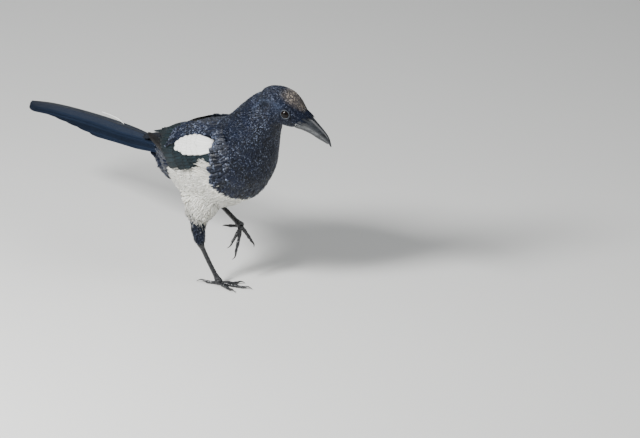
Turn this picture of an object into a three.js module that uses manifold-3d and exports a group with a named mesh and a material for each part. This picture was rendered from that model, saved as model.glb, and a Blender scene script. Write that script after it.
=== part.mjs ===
// Eurasian magpie, life size, caught in mid stride: it stands on the right foot, the left foot is lifted with
// the toes hanging, the head is lowered and turned to the left, and the closed tail trails level behind.
// Millimetres. +X is the way the body faces, +Y is the bird's left, +Z is up and the floor is at z = 0.
import * as THREE from "three";
import { mergeVertices } from "three/addons/utils/BufferGeometryUtils.js";
import Module from "manifold-3d";

const wasm = await Module();
wasm.setup();

const { degToRad, radToDeg, lerp } = THREE.MathUtils;
const v3 = (x, y, z) => new THREE.Vector3(x, y, z);

// Driving dimensions
const GAP = 0.3; // air left between two parts that meet
const VANE = 0.55; // thickness of a feather's vane
const HEAD = { x: 73, y: 8, z: 189, pitch: -33, yaw: 30 }; // midpoint between the eyes, and where the bill points
const EYE = { radius: 4.9, side: 10.3, lift: 0.5, lid: 4.3, lidThick: 0.75 };
const NASAL = { count: 3, reach: 27, half: 2.2, puff: 0.65 };
const TAIL = { feathers: 6, step: 19.5, spread: 1.6, web: 10.3, roofRight: 22, roofLeft: 11 };
const COVERTS = {
  above: { count: 5, reach: 26, spread: 13, half: 4.8, clear: 1 },
  below: { count: 3, reach: 13, spread: 11, half: 5.2, clear: 6.6 },
  from: -84,
};
const TARSUS = { shaft: 1.8, ankle: 3.1, ball: 3.2, scutes: 7, scute: 0.22 };
const TOE = { radius: 1.85, tip: 1.35, joint: 0.16, flat: 0.15, steps: 6, sides: 7 };
const CLAW = { radius: 1.15, tip: 0.2, arch: 0.14, steps: 4 };
// Each toe has a length, a claw, and its heading and rise in degrees on the standing foot and the lifted one.
const TOES = [
  { name: "middle", length: 25, claw: 8.5, joints: 3, right: [27, 0], left: [-68, -74] },
  { name: "inner", length: 17, claw: 7.5, joints: 2, right: [58, 0], left: [-88, -56] },
  { name: "outer", length: 19, claw: 7.5, joints: 3, right: [-6, 0], left: [53, -55] },
  { name: "hallux", length: 13, claw: 10.5, joints: 1, right: [205, 0], left: [-165, -12] },
];
const FLUFF = { knee: 13, bulge: 15, hem: 8.5, slope: 0.42, locks: 6, lock: 11, half: 3.8 };
const LEGS = {
  right: { knee: v3(-8, -16, 98), shin: v3(-24, -18, 64), ankle: v3(-26, -15, 40.2), ball: v3(-15, -2.2, 3.1) },
  left: { knee: v3(-2, 16, 108), shin: v3(-34, 18, 81), ankle: v3(-46, 18, 71), ball: v3(-8, 18, 54) },
};

const COLOURS = {
  black: { color: 0x14161d, roughness: 0.5, metalness: 0 },
  blueBlack: { color: 0x182234, roughness: 0.4, metalness: 0 },
  white: { color: 0xe6e4dc, roughness: 0.8, metalness: 0 },
  horn: { color: 0x1b1c1f, roughness: 0.3, metalness: 0 },
  scale: { color: 0x17181a, roughness: 0.45, metalness: 0 },
  eye: { color: 0x1a0f0a, roughness: 0.1, metalness: 0 },
};

const bird = new THREE.Group();

function addNode(name, solid, colour) {
  const mesh = new THREE.Mesh(geometryOf(largest(solid)), new THREE.MeshStandardMaterial(COLOURS[colour]));
  mesh.name = name;
  bird.add(mesh);
}

// A closed skin with its faces turned outwards, whichever way they were strung.
function skinOf(points, faces) {
  let volume = 0;
  for (let i = 0; i < faces.length; i += 3) {
    const [a, b, c] = [points[faces[i]], points[faces[i + 1]], points[faces[i + 2]]];
    volume += a.dot(b.clone().cross(c));
  }
  return new THREE.BufferGeometry()
    .setAttribute("position", new THREE.Float32BufferAttribute(points.flatMap((p) => p.toArray()), 3))
    .setIndex(volume < 0 ? faces.toReversed() : faces);
}

// A three.js geometry as a solid that can be joined and cut.
function solidOf(geometry) {
  const bare = geometry.clone();
  for (const name of ["normal", "uv"]) bare.deleteAttribute(name);
  const merged = mergeVertices(bare, 1e-4);
  return new wasm.Manifold(
    new wasm.Mesh({
      numProp: 3,
      vertProperties: merged.attributes.position.array,
      triVerts: new Uint32Array(merged.index.array),
    }),
  );
}

function geometryOf(solid) {
  const made = solid.getMesh();
  const places = new Float32Array(made.numVert * 3);
  for (let i = 0; i < made.numVert; i++) {
    places.set(made.vertProperties.subarray(i * made.numProp, i * made.numProp + 3), i * 3);
  }
  return new THREE.BufferGeometry()
    .setAttribute("position", new THREE.BufferAttribute(places, 3))
    .setIndex(new THREE.BufferAttribute(made.triVerts, 1));
}

const join = (solids) => wasm.Manifold.union(solids);

// The largest closed surface of a solid, without the scraps that a cut leaves.
function largest(solid) {
  return solid.decompose().reduce((best, piece) => (piece.volume() > best.volume() ? piece : best));
}

// The two sides of a plane through a point, each standing half a gap back from it: [ahead, behind].
function partAt(solid, { point, normal }) {
  const n = normal.clone().normalize();
  const offset = n.dot(point);
  return [
    solid.trimByPlane(n.toArray(), offset + GAP / 2),
    solid.trimByPlane(n.clone().negate().toArray(), -offset + GAP / 2),
  ];
}

// Rings of points joined into a closed skin, with a fan at each end.
function ringSkin(rings) {
  const sides = rings[0].length;
  const points = rings.flat();
  const faces = [];
  for (let i = 0; i + 1 < rings.length; i++) {
    for (let j = 0; j < sides; j++) {
      const a = i * sides + j;
      const b = i * sides + ((j + 1) % sides);
      faces.push(a, b, b + sides, a, b + sides, a + sides);
    }
  }
  for (const last of [false, true]) {
    const ring = last ? rings[rings.length - 1] : rings[0];
    const base = last ? (rings.length - 1) * sides : 0;
    const middle = points.length;
    points.push(ring.reduce((sum, p) => sum.add(p), v3(0, 0, 0)).divideScalar(sides));
    for (let j = 0; j < sides; j++) {
      const a = base + j;
      const b = base + ((j + 1) % sides);
      faces.push(...(last ? [a, b, middle] : [b, a, middle]));
    }
  }
  return skinOf(points, faces);
}

// A thin plate between two grids of points, top[i][j] and bottom[i][j]. Both faces are split along the same
// diagonals, so that they can't cross where the plate bends.
function plateSkin(top, bottom) {
  const rows = top.length;
  const columns = top[0].length;
  const points = [...top.flat(), ...bottom.flat()];
  const at = (i, j) => i * columns + j;
  const under = rows * columns;
  const faces = [];
  const quad = (a, b, c, d) => faces.push(a, b, c, a, c, d);
  for (let i = 0; i + 1 < rows; i++) {
    for (let j = 0; j + 1 < columns; j++) {
      const [a, b, c, d] = [at(i, j), at(i + 1, j), at(i + 1, j + 1), at(i, j + 1)];
      quad(a, b, c, d);
      faces.push(under + c, under + b, under + a, under + d, under + c, under + a);
    }
    quad(at(i + 1, 0), at(i, 0), under + at(i, 0), under + at(i + 1, 0));
    const edge = columns - 1;
    quad(at(i, edge), at(i + 1, edge), under + at(i + 1, edge), under + at(i, edge));
  }
  for (let j = 0; j + 1 < columns; j++) {
    quad(at(0, j), at(0, j + 1), under + at(0, j + 1), under + at(0, j));
    quad(at(rows - 1, j + 1), at(rows - 1, j), under + at(rows - 1, j), under + at(rows - 1, j + 1));
  }
  return skinOf(points, faces);
}

// The axes of something that points along a pitch (up) and a yaw (to the left).
function axes(pitch, yaw) {
  const [p, w] = [degToRad(pitch), degToRad(yaw)];
  const ahead = v3(Math.cos(p) * Math.cos(w), Math.cos(p) * Math.sin(w), Math.sin(p));
  const left = v3(-Math.sin(w), Math.cos(w), 0);
  return { ahead, left, up: ahead.clone().cross(left) };
}

// A smooth curve through points, cut into a number of steps.
const smooth = (points) => new THREE.CatmullRomCurve3(points, false, "catmullrom", 0.5);
const along = (points, steps) => smooth(points).getPoints(steps);

// A body that changes smoothly between named stations: each has a centre, the way it faces, a half width, and
// how far it reaches above and below its centre.
class Loft {
  constructor(stations) {
    this.centre = smooth(stations.map((s) => v3(s.x, s.y ?? 0, s.z)));
    this.size = smooth(stations.map((s) => v3(s.wide, s.up, s.down)));
    this.turn = smooth(stations.map((s) => v3(s.pitch ?? 0, s.yaw ?? 0, 0)));
  }

  // t runs from the first station to the last; the angle runs from the right side, over the back, to the left.
  point(t, angle, grow = 0) {
    const turn = this.turn.getPoint(t);
    const { left, up } = axes(turn.x, turn.y);
    const size = this.size.getPoint(t);
    const [c, s] = [Math.cos(degToRad(angle)), Math.sin(degToRad(angle))];
    return this.centre
      .getPoint(t)
      .addScaledVector(left, -c * (size.x + grow))
      .addScaledVector(up, s * ((s > 0 ? size.y : size.z) + grow));
  }

  // Where along the loft its centre passes x.
  at(x) {
    let [low, high] = [0, 1];
    for (let i = 0; i < 20; i++) {
      const middle = (low + high) / 2;
      if (this.centre.getPoint(middle).x < x) low = middle;
      else high = middle;
    }
    return low;
  }

  solid(rows, sides, grow = 0) {
    const ring = (i) => Array.from({ length: sides }, (_, j) => this.point(i / rows, (j * 360) / sides, grow));
    return solidOf(ringSkin(Array.from({ length: rows + 1 }, (_, i) => ring(i))));
  }
}

// A round, tapering limb along a path, with the radius at each point of the path.
function limb(path, radii, sides, forward = v3(1, 0, 0)) {
  const rings = path.map((p, i) => {
    const way = path[Math.min(i + 1, path.length - 1)].clone().sub(path[Math.max(i - 1, 0)]).normalize();
    const across = way.clone().cross(forward).normalize();
    const front = across.clone().cross(way).normalize();
    return Array.from({ length: sides }, (_, j) => {
      const a = ((j + 0.5) / sides) * Math.PI * 2;
      const out = front.clone().multiplyScalar(Math.cos(a)).addScaledVector(across, Math.sin(a));
      return p.clone().addScaledVector(out, radii[i]);
    });
  });
  return solidOf(ringSkin(rings));
}

// A feather's vane from its sunken root to its rounded tip: how wide and thick it is along its length.
const VANE_ROWS = [
  { s: 0, wide: 0.5, thick: 1 },
  { s: 0.5, wide: 0.96, thick: 1 },
  { s: 0.87, wide: 0.8, thick: 1 },
  { s: 1, wide: 0.22, thick: 0.6 },
];

// place(p, q, h) turns a place along the body, a place across it and a height over the surface into a point.
// heights are those at the root and the tip, and tilt lifts the edge that lies over the next feather.
function vane(place, shape) {
  const { root, tip, half, heights, tilt = 0, sink = 1, bow = 0, narrow = 0, grow = 0, columns = [-1, 1] } = shape;
  const way = new THREE.Vector2(tip[0] - root[0], tip[1] - root[1]).normalize();
  const row = ({ s, wide, thick }, under) => {
    const p = lerp(root[0], tip[0], s) - (s - 0.5) * 2 * grow * Math.sign(root[0] - tip[0]);
    const q = lerp(root[1], tip[1], s) + bow * Math.sin(Math.PI * s);
    const base = lerp(heights[0], heights[1], s) - (s === 0 ? sink : 0);
    return columns.map((j) => {
      const w = j * (half * wide * (1 - narrow * s) + grow);
      const h = base + (1 - j) * 0.5 * tilt + (under ? -grow : VANE * thick + grow);
      return place(p - w * way.y, q + w * way.x, h);
    });
  };
  const face = (under) => VANE_ROWS.map((station) => row(station, under));
  return solidOf(plateSkin(face(false), face(true)));
}

// Several like vanes, the k-th of them worked out by a function of k from 0 to 1.
const tier = (place, count, shape) =>
  Array.from({ length: count }, (_, k) => vane(place, shape(count > 1 ? k / (count - 1) : 0, k)));

// Trunk, neck and head

const trunk = new Loft([
  { x: -99, z: 113, wide: 6, up: 5, down: 5, pitch: 15 },
  { x: -90, z: 113, wide: 13, up: 10, down: 11, pitch: 12 },
  { x: -76, z: 112, wide: 21, up: 18, down: 21, pitch: 8 },
  { x: -56, z: 115, wide: 31, up: 28, down: 37.5, pitch: 10 },
  { x: -28, z: 119, wide: 38, up: 36, down: 47, pitch: 15 },
  { x: -2, z: 127, wide: 38, up: 37, down: 43.5, pitch: 28 },
  { x: 18, z: 139, wide: 34, up: 35, down: 36.5, pitch: 40 },
  { x: 30, z: 154, wide: 27.5, up: 30, down: 29, pitch: 50, yaw: 4 },
  { x: 42, y: 1, z: 169, wide: 22, up: 26.5, down: 21, pitch: 44, yaw: 10 },
  { x: 52, y: 3, z: 180, wide: 18, up: 24, down: 17, pitch: 28, yaw: 18 },
  { x: 60, y: 5, z: 185, wide: 15, up: 20, down: 12, pitch: 10, yaw: 24 },
]);
const TRUNK_MESH = [22, 20];
const trunkSolid = trunk.solid(...TRUNK_MESH);
const trunkGrown = trunk.solid(...TRUNK_MESH, GAP + 0.1);

// The head in its own frame: x along the bill, z up, and the origin midway between the eyes.
const skull = new Loft([
  { x: -31, z: 0, wide: 2, up: 2, down: 2 },
  { x: -27, z: 0, wide: 9, up: 8.5, down: 10 },
  { x: -19, z: 0, wide: 13.5, up: 14.4, down: 15 },
  { x: -9, z: 0, wide: 15, up: 17.6, down: 16.5 },
  { x: 1, z: 0, wide: 14.2, up: 16.3, down: 15.5 },
  { x: 9, z: 0, wide: 11.3, up: 12.9, down: 12.5 },
  { x: 15, z: 1, wide: 8.6, up: 8.7, down: 9.5 },
  { x: 20, z: 2, wide: 6, up: 6, down: 8 },
  { x: 23, z: 2, wide: 2, up: 2, down: 3 },
]);
const headAxes = axes(HEAD.pitch, HEAD.yaw);
const headMatrix = new THREE.Matrix4()
  .makeBasis(headAxes.ahead, headAxes.left, headAxes.up)
  .setPosition(HEAD.x, HEAD.y, HEAD.z);
const inHead = (solid) => solid.transform(headMatrix.toArray());

// Where the plumage's named regions meet
const neckline = { point: v3(55, 4, 178), normal: v3(0.81, 0.17, 0.55) };
const collar = { point: v3(25, 0, 148), normal: v3(0.64, 0, 0.77) };
const vent = { point: v3(-60, 0, 112), normal: v3(1, 0, 0.12) };
const mantleEdge = { point: v3(0, 0, 131), normal: v3(-0.35, 0, 1) };
const tailRoot = { point: v3(-97, 0, 113), normal: v3(1, 0, 0) };
// The edge of the black bib seen from the side, from under the breast up to the shoulder.
const BIB_EDGE = [v3(24, 0, 50), v3(24, 0, 92), v3(17, 0, 106), v3(10, 0, 118), v3(8, 0, 132), v3(14, 0, 160)];

// Everything ahead of the bib's edge, set back from it by a margin.
function bibRegion(margin) {
  const edge = along(BIB_EDGE, 12).map((p) => new THREE.Vector2(p.x + margin, p.z));
  const outline = new THREE.Shape([...edge, new THREE.Vector2(120, 220), new THREE.Vector2(120, 40)]);
  const block = new THREE.ExtrudeGeometry(outline, { depth: 120, bevelEnabled: false });
  return solidOf(block.rotateX(Math.PI / 2).translate(0, 60, 0));
}

// The bill in the head's frame. The culmen curves down to the tip, and the two halves part along the gape.
const BILL = [
  { x: 13, top: 9.0, gape: -3.4, low: -8.6, half: 7.2 },
  { x: 20, top: 8.3, gape: -1.9, low: -6.8, half: 6.2 },
  { x: 28, top: 6.6, gape: -0.9, low: -5.2, half: 5.0 },
  { x: 35, top: 5.0, gape: -0.7, low: -4.9, half: 3.8 },
  { x: 41, top: 3.1, gape: -1.2, low: -4.1, half: 2.8 },
  { x: 45.5, top: 0.4, gape: -2.3, low: -3.6, half: 1.7 },
  { x: 49.4, top: -3.2, gape: -4.2, low: -4.2, half: 0.5 },
];
const BILL_SIDES = 7;

// Half of the bill, flat on the gape and rounded on its other side.
function billHalf(upper, grow = 0) {
  const sign = upper ? 1 : -1;
  const stations = upper ? BILL : BILL.slice(0, -1);
  const rings = stations.map(({ x, top, gape, low, half }, i) => {
    const end = (i === 0 ? -grow : 0) + (i === stations.length - 1 ? grow : 0);
    const edge = gape + sign * 0.5 * GAP;
    const reach = (upper ? top - edge : edge - low) + grow;
    return Array.from({ length: BILL_SIDES }, (_, j) => {
      const a = (Math.PI * j) / (BILL_SIDES - 1);
      const rise = Math.sin(a) * reach - (Math.sin(a) < 0.1 ? grow : 0);
      return v3(x + end, Math.cos(a) * (half + grow), edge + sign * rise);
    });
  });
  return inHead(solidOf(ringSkin(rings)));
}

function eyeball(side, grow = 0) {
  const ball = new THREE.SphereGeometry(EYE.radius + grow, 14, 7).rotateX(Math.PI / 2);
  return inHead(solidOf(ball.translate(0, side * EYE.side, EYE.lift)));
}

function lid(side) {
  const ring = new THREE.TorusGeometry(EYE.lid, EYE.lidThick, 4, 12).rotateX(Math.PI / 2);
  return inHead(solidOf(ring.translate(0, side * (EYE.side + 3.1), EYE.lift)));
}

// Bristles that lie forwards over the base of the bill and its nostrils.
function bristles(side) {
  return Array.from({ length: NASAL.count }, (_, k) => {
    const fan = k / (NASAL.count - 1);
    const root = v3(11, side * lerp(2, 8, fan), lerp(9.8, 1.5, fan));
    const tip = v3(NASAL.reach - 5 * fan, side * lerp(1.4, 5.4, fan), lerp(6.5, 2.2, fan));
    const outwards = v3(0, side * Math.sin(fan * 1.5), Math.cos(fan * 1.5));
    const across = v3(1, 0, 0).cross(outwards);
    const place = (p, q, h) =>
      root
        .clone()
        .lerp(tip, p)
        .addScaledVector(across, q)
        .addScaledVector(outwards, h + NASAL.puff * Math.sin(2.6 * p));
    return inHead(vane(place, { root: [0, 0], tip: [1, 0], half: NASAL.half, heights: [0, 0.1], sink: 2 }));
  });
}

function headParts(whole) {
  const skin = partAt(whole, neckline)[0];
  const sides = [-1, 1];
  const proud = join([skin, ...sides.map(lid), ...sides.flatMap(bristles)]);
  const taken = [billHalf(true, GAP), billHalf(false, GAP), ...sides.map((side) => eyeball(side, GAP))];
  addNode("head", proud.subtract(join(taken)), "black");
  addNode("bill_upper", billHalf(true), "horn");
  addNode("bill_lower", billHalf(false), "horn");
  addNode("eye_right", eyeball(-1), "eye");
  addNode("eye_left", eyeball(1), "eye");
}

// The feathered shin, from inside the belly to the ankle.
const shinPath = (leg) => along([leg.knee, leg.shin, leg.ankle], 12);
const shinRadius = (s) => lerp(11, 3.3, Math.pow(s, 0.75));

function trousers(leg, grow = 0) {
  const path = shinPath(leg);
  return limb(path, path.map((_, i) => shinRadius(i / 12) + grow), 10);
}

// White fluff that hangs from the belly round the top of a leg.
function fluff(leg, steps) {
  const path = shinPath(leg).slice(0, steps + 1);
  const radius = (s) => (s < 0.5 ? lerp(FLUFF.knee, FLUFF.bulge, 2 * s) : lerp(FLUFF.bulge, FLUFF.hem, 2 * s - 1));
  return limb(path, path.map((_, i) => radius(i / steps)), 12);
}

// Tapered locks round the hem of the fluff.
function locks(leg, steps) {
  const path = shinPath(leg);
  const hem = path[steps];
  const down = hem.clone().sub(path[steps - 1]).normalize();
  const across = down.clone().cross(v3(1, 0, 0)).normalize();
  const front = across.clone().cross(down);
  const place = (p, q, h) => {
    const a = q / FLUFF.hem;
    const out = front.clone().multiplyScalar(Math.cos(a)).addScaledVector(across, Math.sin(a));
    return hem.clone().addScaledVector(down, p).addScaledVector(out, FLUFF.hem - FLUFF.slope * p + h);
  };
  return Array.from({ length: FLUFF.locks }, (_, k) => {
    const q = (k / FLUFF.locks) * 2 * Math.PI * FLUFF.hem;
    const hang = FLUFF.lock * (0.5 + 0.1 * ((k * 3) % 4));
    const ends = { root: [hang - FLUFF.lock, q], tip: [hang, q], heights: [0, 0.6] };
    return vane(place, { ...ends, half: FLUFF.half, narrow: 0.7 });
  });
}

function torsoParts(whole) {
  const rest = partAt(whole, neckline)[1];
  const [neck, body] = partAt(rest, collar);
  const [front, hind] = partAt(body, vent);
  const behindBib = front.subtract(bibRegion(-GAP / 2));
  const [back, under] = partAt(behindBib, mantleEdge);
  const skirts = [
    [LEGS.right, 6],
    [LEGS.left, 8],
  ].map(([leg, steps]) => partAt(join([fluff(leg, steps), ...locks(leg, steps)]), vent)[0]);
  const shins = join([LEGS.right, LEGS.left].flatMap((leg) => [trousers(leg, GAP), tarsus(leg, GAP)]));
  addNode("neck", neck, "black");
  addNode("breast", front.intersect(bibRegion(GAP / 2)), "black");
  addNode("back", back, "black");
  addNode("belly", join([under, ...skirts]).subtract(shins), "white");
  addNode("rump", join([partAt(hind, tailRoot)[0], ...tailCoverts(true), ...tailCoverts(false)]), "black");
}

// Wings, folded over the back

const folded = new Loft([
  { x: -122, z: 116.5, wide: 9, up: 8, down: 8, pitch: 8 },
  { x: -104, z: 118, wide: 12, up: 10, down: 10, pitch: 8 },
  { x: -88, z: 118, wide: 18, up: 14.5, down: 15, pitch: 8 },
  { x: -74, z: 117.5, wide: 24, up: 20, down: 22, pitch: 9 },
  { x: -56, z: 118, wide: 32, up: 28.5, down: 32, pitch: 12 },
  { x: -28, z: 120, wide: 38.5, up: 37.5, down: 43, pitch: 18 },
  { x: -2, z: 127.5, wide: 39, up: 38.5, down: 44, pitch: 28 },
  { x: 18, z: 139, wide: 35, up: 35.5, down: 36, pitch: 40 },
  { x: 30, z: 154, wide: 27.5, up: 30.5, down: 27, pitch: 50 },
]);

// p is a place along the folded wing, q is the distance down from the middle of the back, and h is the height
// over the body. side is -1 for the right wing and 1 for the left.
function onWing(side) {
  return (p, q, h) => {
    const t = folded.at(p);
    const size = folded.size.getPoint(t);
    const around = 90 - radToDeg(q / ((size.x + size.y) / 2));
    const spot = folded.point(t, around, h);
    return v3(spot.x, spot.y * -side, spot.z);
  };
}

// A plate of flesh under the feathers: centre line, half width and thickness along the wing.
function bed(place, rows, low, high) {
  const face = (h) => rows.map(([p, q, half]) => [-1, -0.4, 0.4, 1].map((j) => place(p, q + j * half, h)));
  return solidOf(plateSkin(face(high), face(low)));
}

const WING_BED = [[23, 43, 4], [14, 46, 10], [0, 47, 15], [-16, 42, 18.5], [-32, 35, 17.5], [-46, 29, 13]];
const SCAPULAR_BED = [[24, 42, 3.5], [12, 44, 6], [-4, 44, 6.5], [-18, 41, 4.5]];

function wingFeathers(place) {
  return [
    ...tier(place, 4, (k) => ({
      root: [-14, 54 - 12 * k],
      tip: [-80 - 25 * k, 23 - 13 * k],
      half: 4.8,
      heights: [-0.2, 0.6 + 0.4 * k],
      tilt: -1.9,
      bow: 3,
      narrow: 0.3,
    })),
    ...tier(place, 6, (k) => ({
      root: [2 - 16 * k, 60 - 30 * k],
      tip: [-43 - 31 * k, 54 - 41 * k],
      half: 6.3,
      heights: [0.1, 2.4],
      tilt: -1.7,
    })),
    ...tier(place, 3, (k) => ({
      root: [-24 - 5 * k, 32 - 11 * k],
      tip: [-72 - 12 * k, 16 - 11 * k],
      half: 6,
      heights: [0, 2.6],
      tilt: -1.5,
      narrow: 0.25,
    })),
    ...tier(place, 5, (k) => ({
      root: [8 - 6 * k, 60 - 18 * k],
      tip: [-23 - 10 * k, 61 - 22 * k],
      half: 4.4,
      heights: [0.2, 3.3],
      tilt: -1.4,
    })),
    ...tier(place, 3, (k) => ({
      root: [16 - 2 * k, 54 - 8 * k],
      tip: [-4 - 4 * k, 59 - 12 * k],
      half: 4.2,
      heights: [0.5, 3.8],
      tilt: -1.3,
    })),
  ];
}

function scapularFeathers(place, grow) {
  const rows = [
    { count: 2, root: [-8, 43, 4], tip: [-27, 40, 4], half: 4.2, high: 4.2 },
    { count: 3, root: [4, 48, 8], tip: [-17, 47, 9], half: 4.4, high: 4.6 },
    { count: 3, root: [18, 46, 8], tip: [-3, 49, 10], half: 4.4, high: 4.6 },
  ];
  return rows.flatMap(({ count, root, tip, half, high }) =>
    tier(place, count, (k) => ({
      root: [root[0], root[1] - root[2] * k],
      tip: [tip[0] - 3 * k, tip[1] - tip[2] * k],
      half,
      heights: [2.2, high],
      tilt: -1,
      sink: 0.6,
      grow,
    })),
  );
}

function scapulars(place, grow = 0) {
  const rows = SCAPULAR_BED.map(([p, q, half]) => [p, q, half + grow]);
  return join([bed(place, rows, 1.6 - grow, 3 + grow), ...scapularFeathers(place, grow)]);
}

function wingParts(name, side) {
  const place = onWing(side);
  const wing = join([bed(place, WING_BED, -2.5, 1.2), ...wingFeathers(place)]);
  const apart = wing.trimByPlane([0, side, 0], GAP).subtract(join([trunkGrown, scapulars(place, GAP)]));
  addNode(`wing_${name}`, apart, "blueBlack");
  addNode(`scapulars_${name}`, scapulars(place).subtract(trunkGrown), "white");
}

// Tail

// The top of the closed tail, along its middle, as x and z.
const RIDGE = [[-97.3, 114], [-130, 114.5], [-187, 113], [-243, 108.6], [-288, 102.8]];
const ridge = smooth(RIDGE.map(([x, z]) => v3(x, 0, z)));
const ridgeLength = ridge.getLength();

// p is the distance behind the root, q is to the left of the ridge and h is above the roof of the tail.
function onTail(p, q, h) {
  const spot = ridge.getPointAt(Math.max(0, Math.min(p / ridgeLength, 1)));
  const fall = Math.tan(degToRad(q < 0 ? TAIL.roofRight : TAIL.roofLeft));
  return spot.add(v3(Math.max(0, -p), q, h - Math.abs(q) * fall));
}

// Coverts rooted on the rump, which lie over the base of the tail, or from the vent, which lie under it. Their
// places run from the trunk's own surface to the roof of the tail, or to the underside of its stack of feathers.
function tailCoverts(above) {
  const { count, reach, spread, half, clear } = above ? COVERTS.above : COVERTS.below;
  const start = trunk.at(COVERTS.from);
  const size = trunk.size.getPoint(start);
  const length = COVERTS.from - tailRoot.point.x + reach;
  const place = (p, q, h) => {
    const around = radToDeg(q / size.x);
    const rooted = trunk.point(start, above ? 90 + around : 270 - around, h);
    return rooted.lerp(onTail(reach, q, above ? clear + h : -clear - h), p / length);
  };
  return tier(place, count, (k) => {
    const fan = k - 0.5;
    return {
      root: [0, 0.7 * spread * fan],
      tip: [length * (1 - 0.5 * Math.abs(fan)), spread * fan],
      half,
      heights: [0, 1.6 - 3 * Math.abs(fan)],
    };
  });
}

function tailParts() {
  const feathers = [];
  for (let k = 0; k < TAIL.feathers; k++) {
    for (const side of [-1, 1]) {
      const shaft = side * (k === 0 ? 1.2 : 2 + TAIL.spread * k);
      const tip = ridgeLength - (k === 0 ? 1 - side : TAIL.step * k);
      const layer = k === 0 ? (1 - side) / 2 : k + 1;
      const height = -layer * (VANE + GAP) - 0.2;
      const half = k === 0 ? TAIL.web : TAIL.web - 1.5 - 0.4 * k;
      const columns = k === 0 ? [-1, -side * (shaft / half) * 0.5, 1] : [-1, 1];
      const ends = { root: [6, shaft * 0.35], tip: [tip, shaft], heights: [height, height] };
      feathers.push(vane(onTail, { ...ends, half, sink: 0, columns }));
    }
  }
  const root = [[0, 8.5, 5.5], [12, 8, 4.6], [26, 6, 3.4], [40, 3, 2.4]].map(([p, wide, tall]) =>
    Array.from({ length: 10 }, (_, j) => {
      const a = (j / 10) * Math.PI * 2;
      return onTail(p, 0, -3).add(v3(0, Math.cos(a) * wide, Math.sin(a) * tall));
    }),
  );
  addNode("tail", join([solidOf(ringSkin(root)), ...feathers]), "blueBlack");
}

// Legs and feet

function tarsus(leg, grow = 0) {
  const steps = TARSUS.scutes * 2;
  const middle = leg.ankle.clone().lerp(leg.ball, 0.5).add(v3(-0.8, 0, 0));
  const path = along([leg.ankle, middle, leg.ball], steps);
  const radii = path.map((_, i) => {
    const s = i / steps;
    const knob = (TARSUS.ankle - TARSUS.shaft) * Math.exp(-((s / 0.1) ** 2));
    const foot = (TARSUS.ball - TARSUS.shaft) * Math.exp(-(((1 - s) / 0.12) ** 2));
    return TARSUS.shaft + knob + foot + (i % 2 ? TARSUS.scute : 0) + grow;
  });
  const ball = new THREE.SphereGeometry(TARSUS.ball + grow, 8, 5).translate(...leg.ball.toArray());
  return join([limb(path, radii, 8), solidOf(ball)]);
}

const heading = ([yaw, rise]) => axes(rise, yaw).ahead;

// The middle line of a toe. On the standing foot it lies along the floor, on the lifted one it curls back.
function toePath(leg, standing, toe, way) {
  const radius = (s) => lerp(TOE.radius, TOE.tip, s) + TOE.joint * Math.cos(s * toe.joints * 2 * Math.PI);
  const path = Array.from({ length: TOE.steps + 1 }, (_, i) => {
    const s = i / TOE.steps;
    const p = leg.ball.clone().addScaledVector(way, toe.length * s);
    if (standing) p.z = lerp(radius(s) - TOE.flat, leg.ball.z, Math.pow(1 - s, 4));
    else p.x -= 0.1 * toe.length * s * s;
    return p;
  });
  return { path, radii: path.map((_, i) => radius(i / TOE.steps)) };
}

// A claw that leaves the end of its toe, arches up and comes down to a point.
function claw(path, toe, standing) {
  const end = path[path.length - 1];
  const way = end.clone().sub(path[path.length - 2]).normalize();
  const back = standing ? v3(0, 0, -1) : v3(-1, 0, -0.3).addScaledVector(way, -way.dot(v3(-1, 0, -0.3))).normalize();
  const line = Array.from({ length: CLAW.steps + 1 }, (_, i) => {
    const s = i / CLAW.steps;
    const drop = standing ? (end.z - CLAW.tip - 0.15) * s * s : 0.3 * toe.claw * s * s;
    const arch = CLAW.arch * toe.claw * Math.sin(Math.PI * s);
    const reach = GAP + toe.claw * s * (1 - 0.12 * s);
    return end.clone().addScaledVector(way, reach).addScaledVector(back, drop - arch);
  });
  const radii = line.map((_, i) => lerp(CLAW.radius, CLAW.tip, i / CLAW.steps));
  return limb(line, radii, 6, v3(0, 0, 1).addScaledVector(way, 0.2));
}

function legParts(side, leg) {
  const standing = side === "right";
  const floor = (solid) => solid.trimByPlane([0, 0, 1], 0);
  addNode(`thigh_${side}`, trousers(leg).subtract(tarsus(leg, GAP)), "black");
  addNode(`tarsus_${side}`, floor(tarsus(leg)), "scale");
  const taken = [tarsus(leg, GAP)];
  for (const toe of TOES) {
    const { path, radii } = toePath(leg, standing, toe, heading(toe[side]));
    const solid = limb(path, radii, TOE.sides, v3(0.1, 0, 1)).subtract(join(taken));
    taken.push(limb(path, radii.map((r) => r + GAP), TOE.sides, v3(0.1, 0, 1)));
    addNode(`toe_${side}_${toe.name}`, floor(solid), "scale");
    addNode(`claw_${side}_${toe.name}`, floor(claw(path, toe, standing)), "horn");
  }
}

const whole = join([trunkSolid, inHead(skull.solid(12, 18))]);
headParts(whole);
torsoParts(whole);
wingParts("right", -1);
wingParts("left", 1);
tailParts();
legParts("right", LEGS.right);
legParts("left", LEGS.left);

// The origin is on the floor, at the middle of the box that holds the whole bird.
const middle = new THREE.Box3().setFromObject(bird).getCenter(v3(0, 0, 0));
bird.position.set(-middle.x, -middle.y, 0);
const group = new THREE.Group();
group.add(bird);

export default group;
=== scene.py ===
# %% [markdown]
# # A Eurasian magpie, life size, made as a museum makes one
# The solids give the bird its true outline. Here it gets what an outline can't give: a smooth skin, a coat of
# about 14,000 small feathers, finer wings and tail of about 1,100 more, scaly legs, a horn bill and wet eyes.
# All lengths are in millimetres and are turned to metres when a mesh is made.

import math
from functools import partial

import bpy
import numpy as np
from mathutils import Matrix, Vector
from mathutils.bvhtree import BVHTree
from mathutils.kdtree import KDTree


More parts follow.
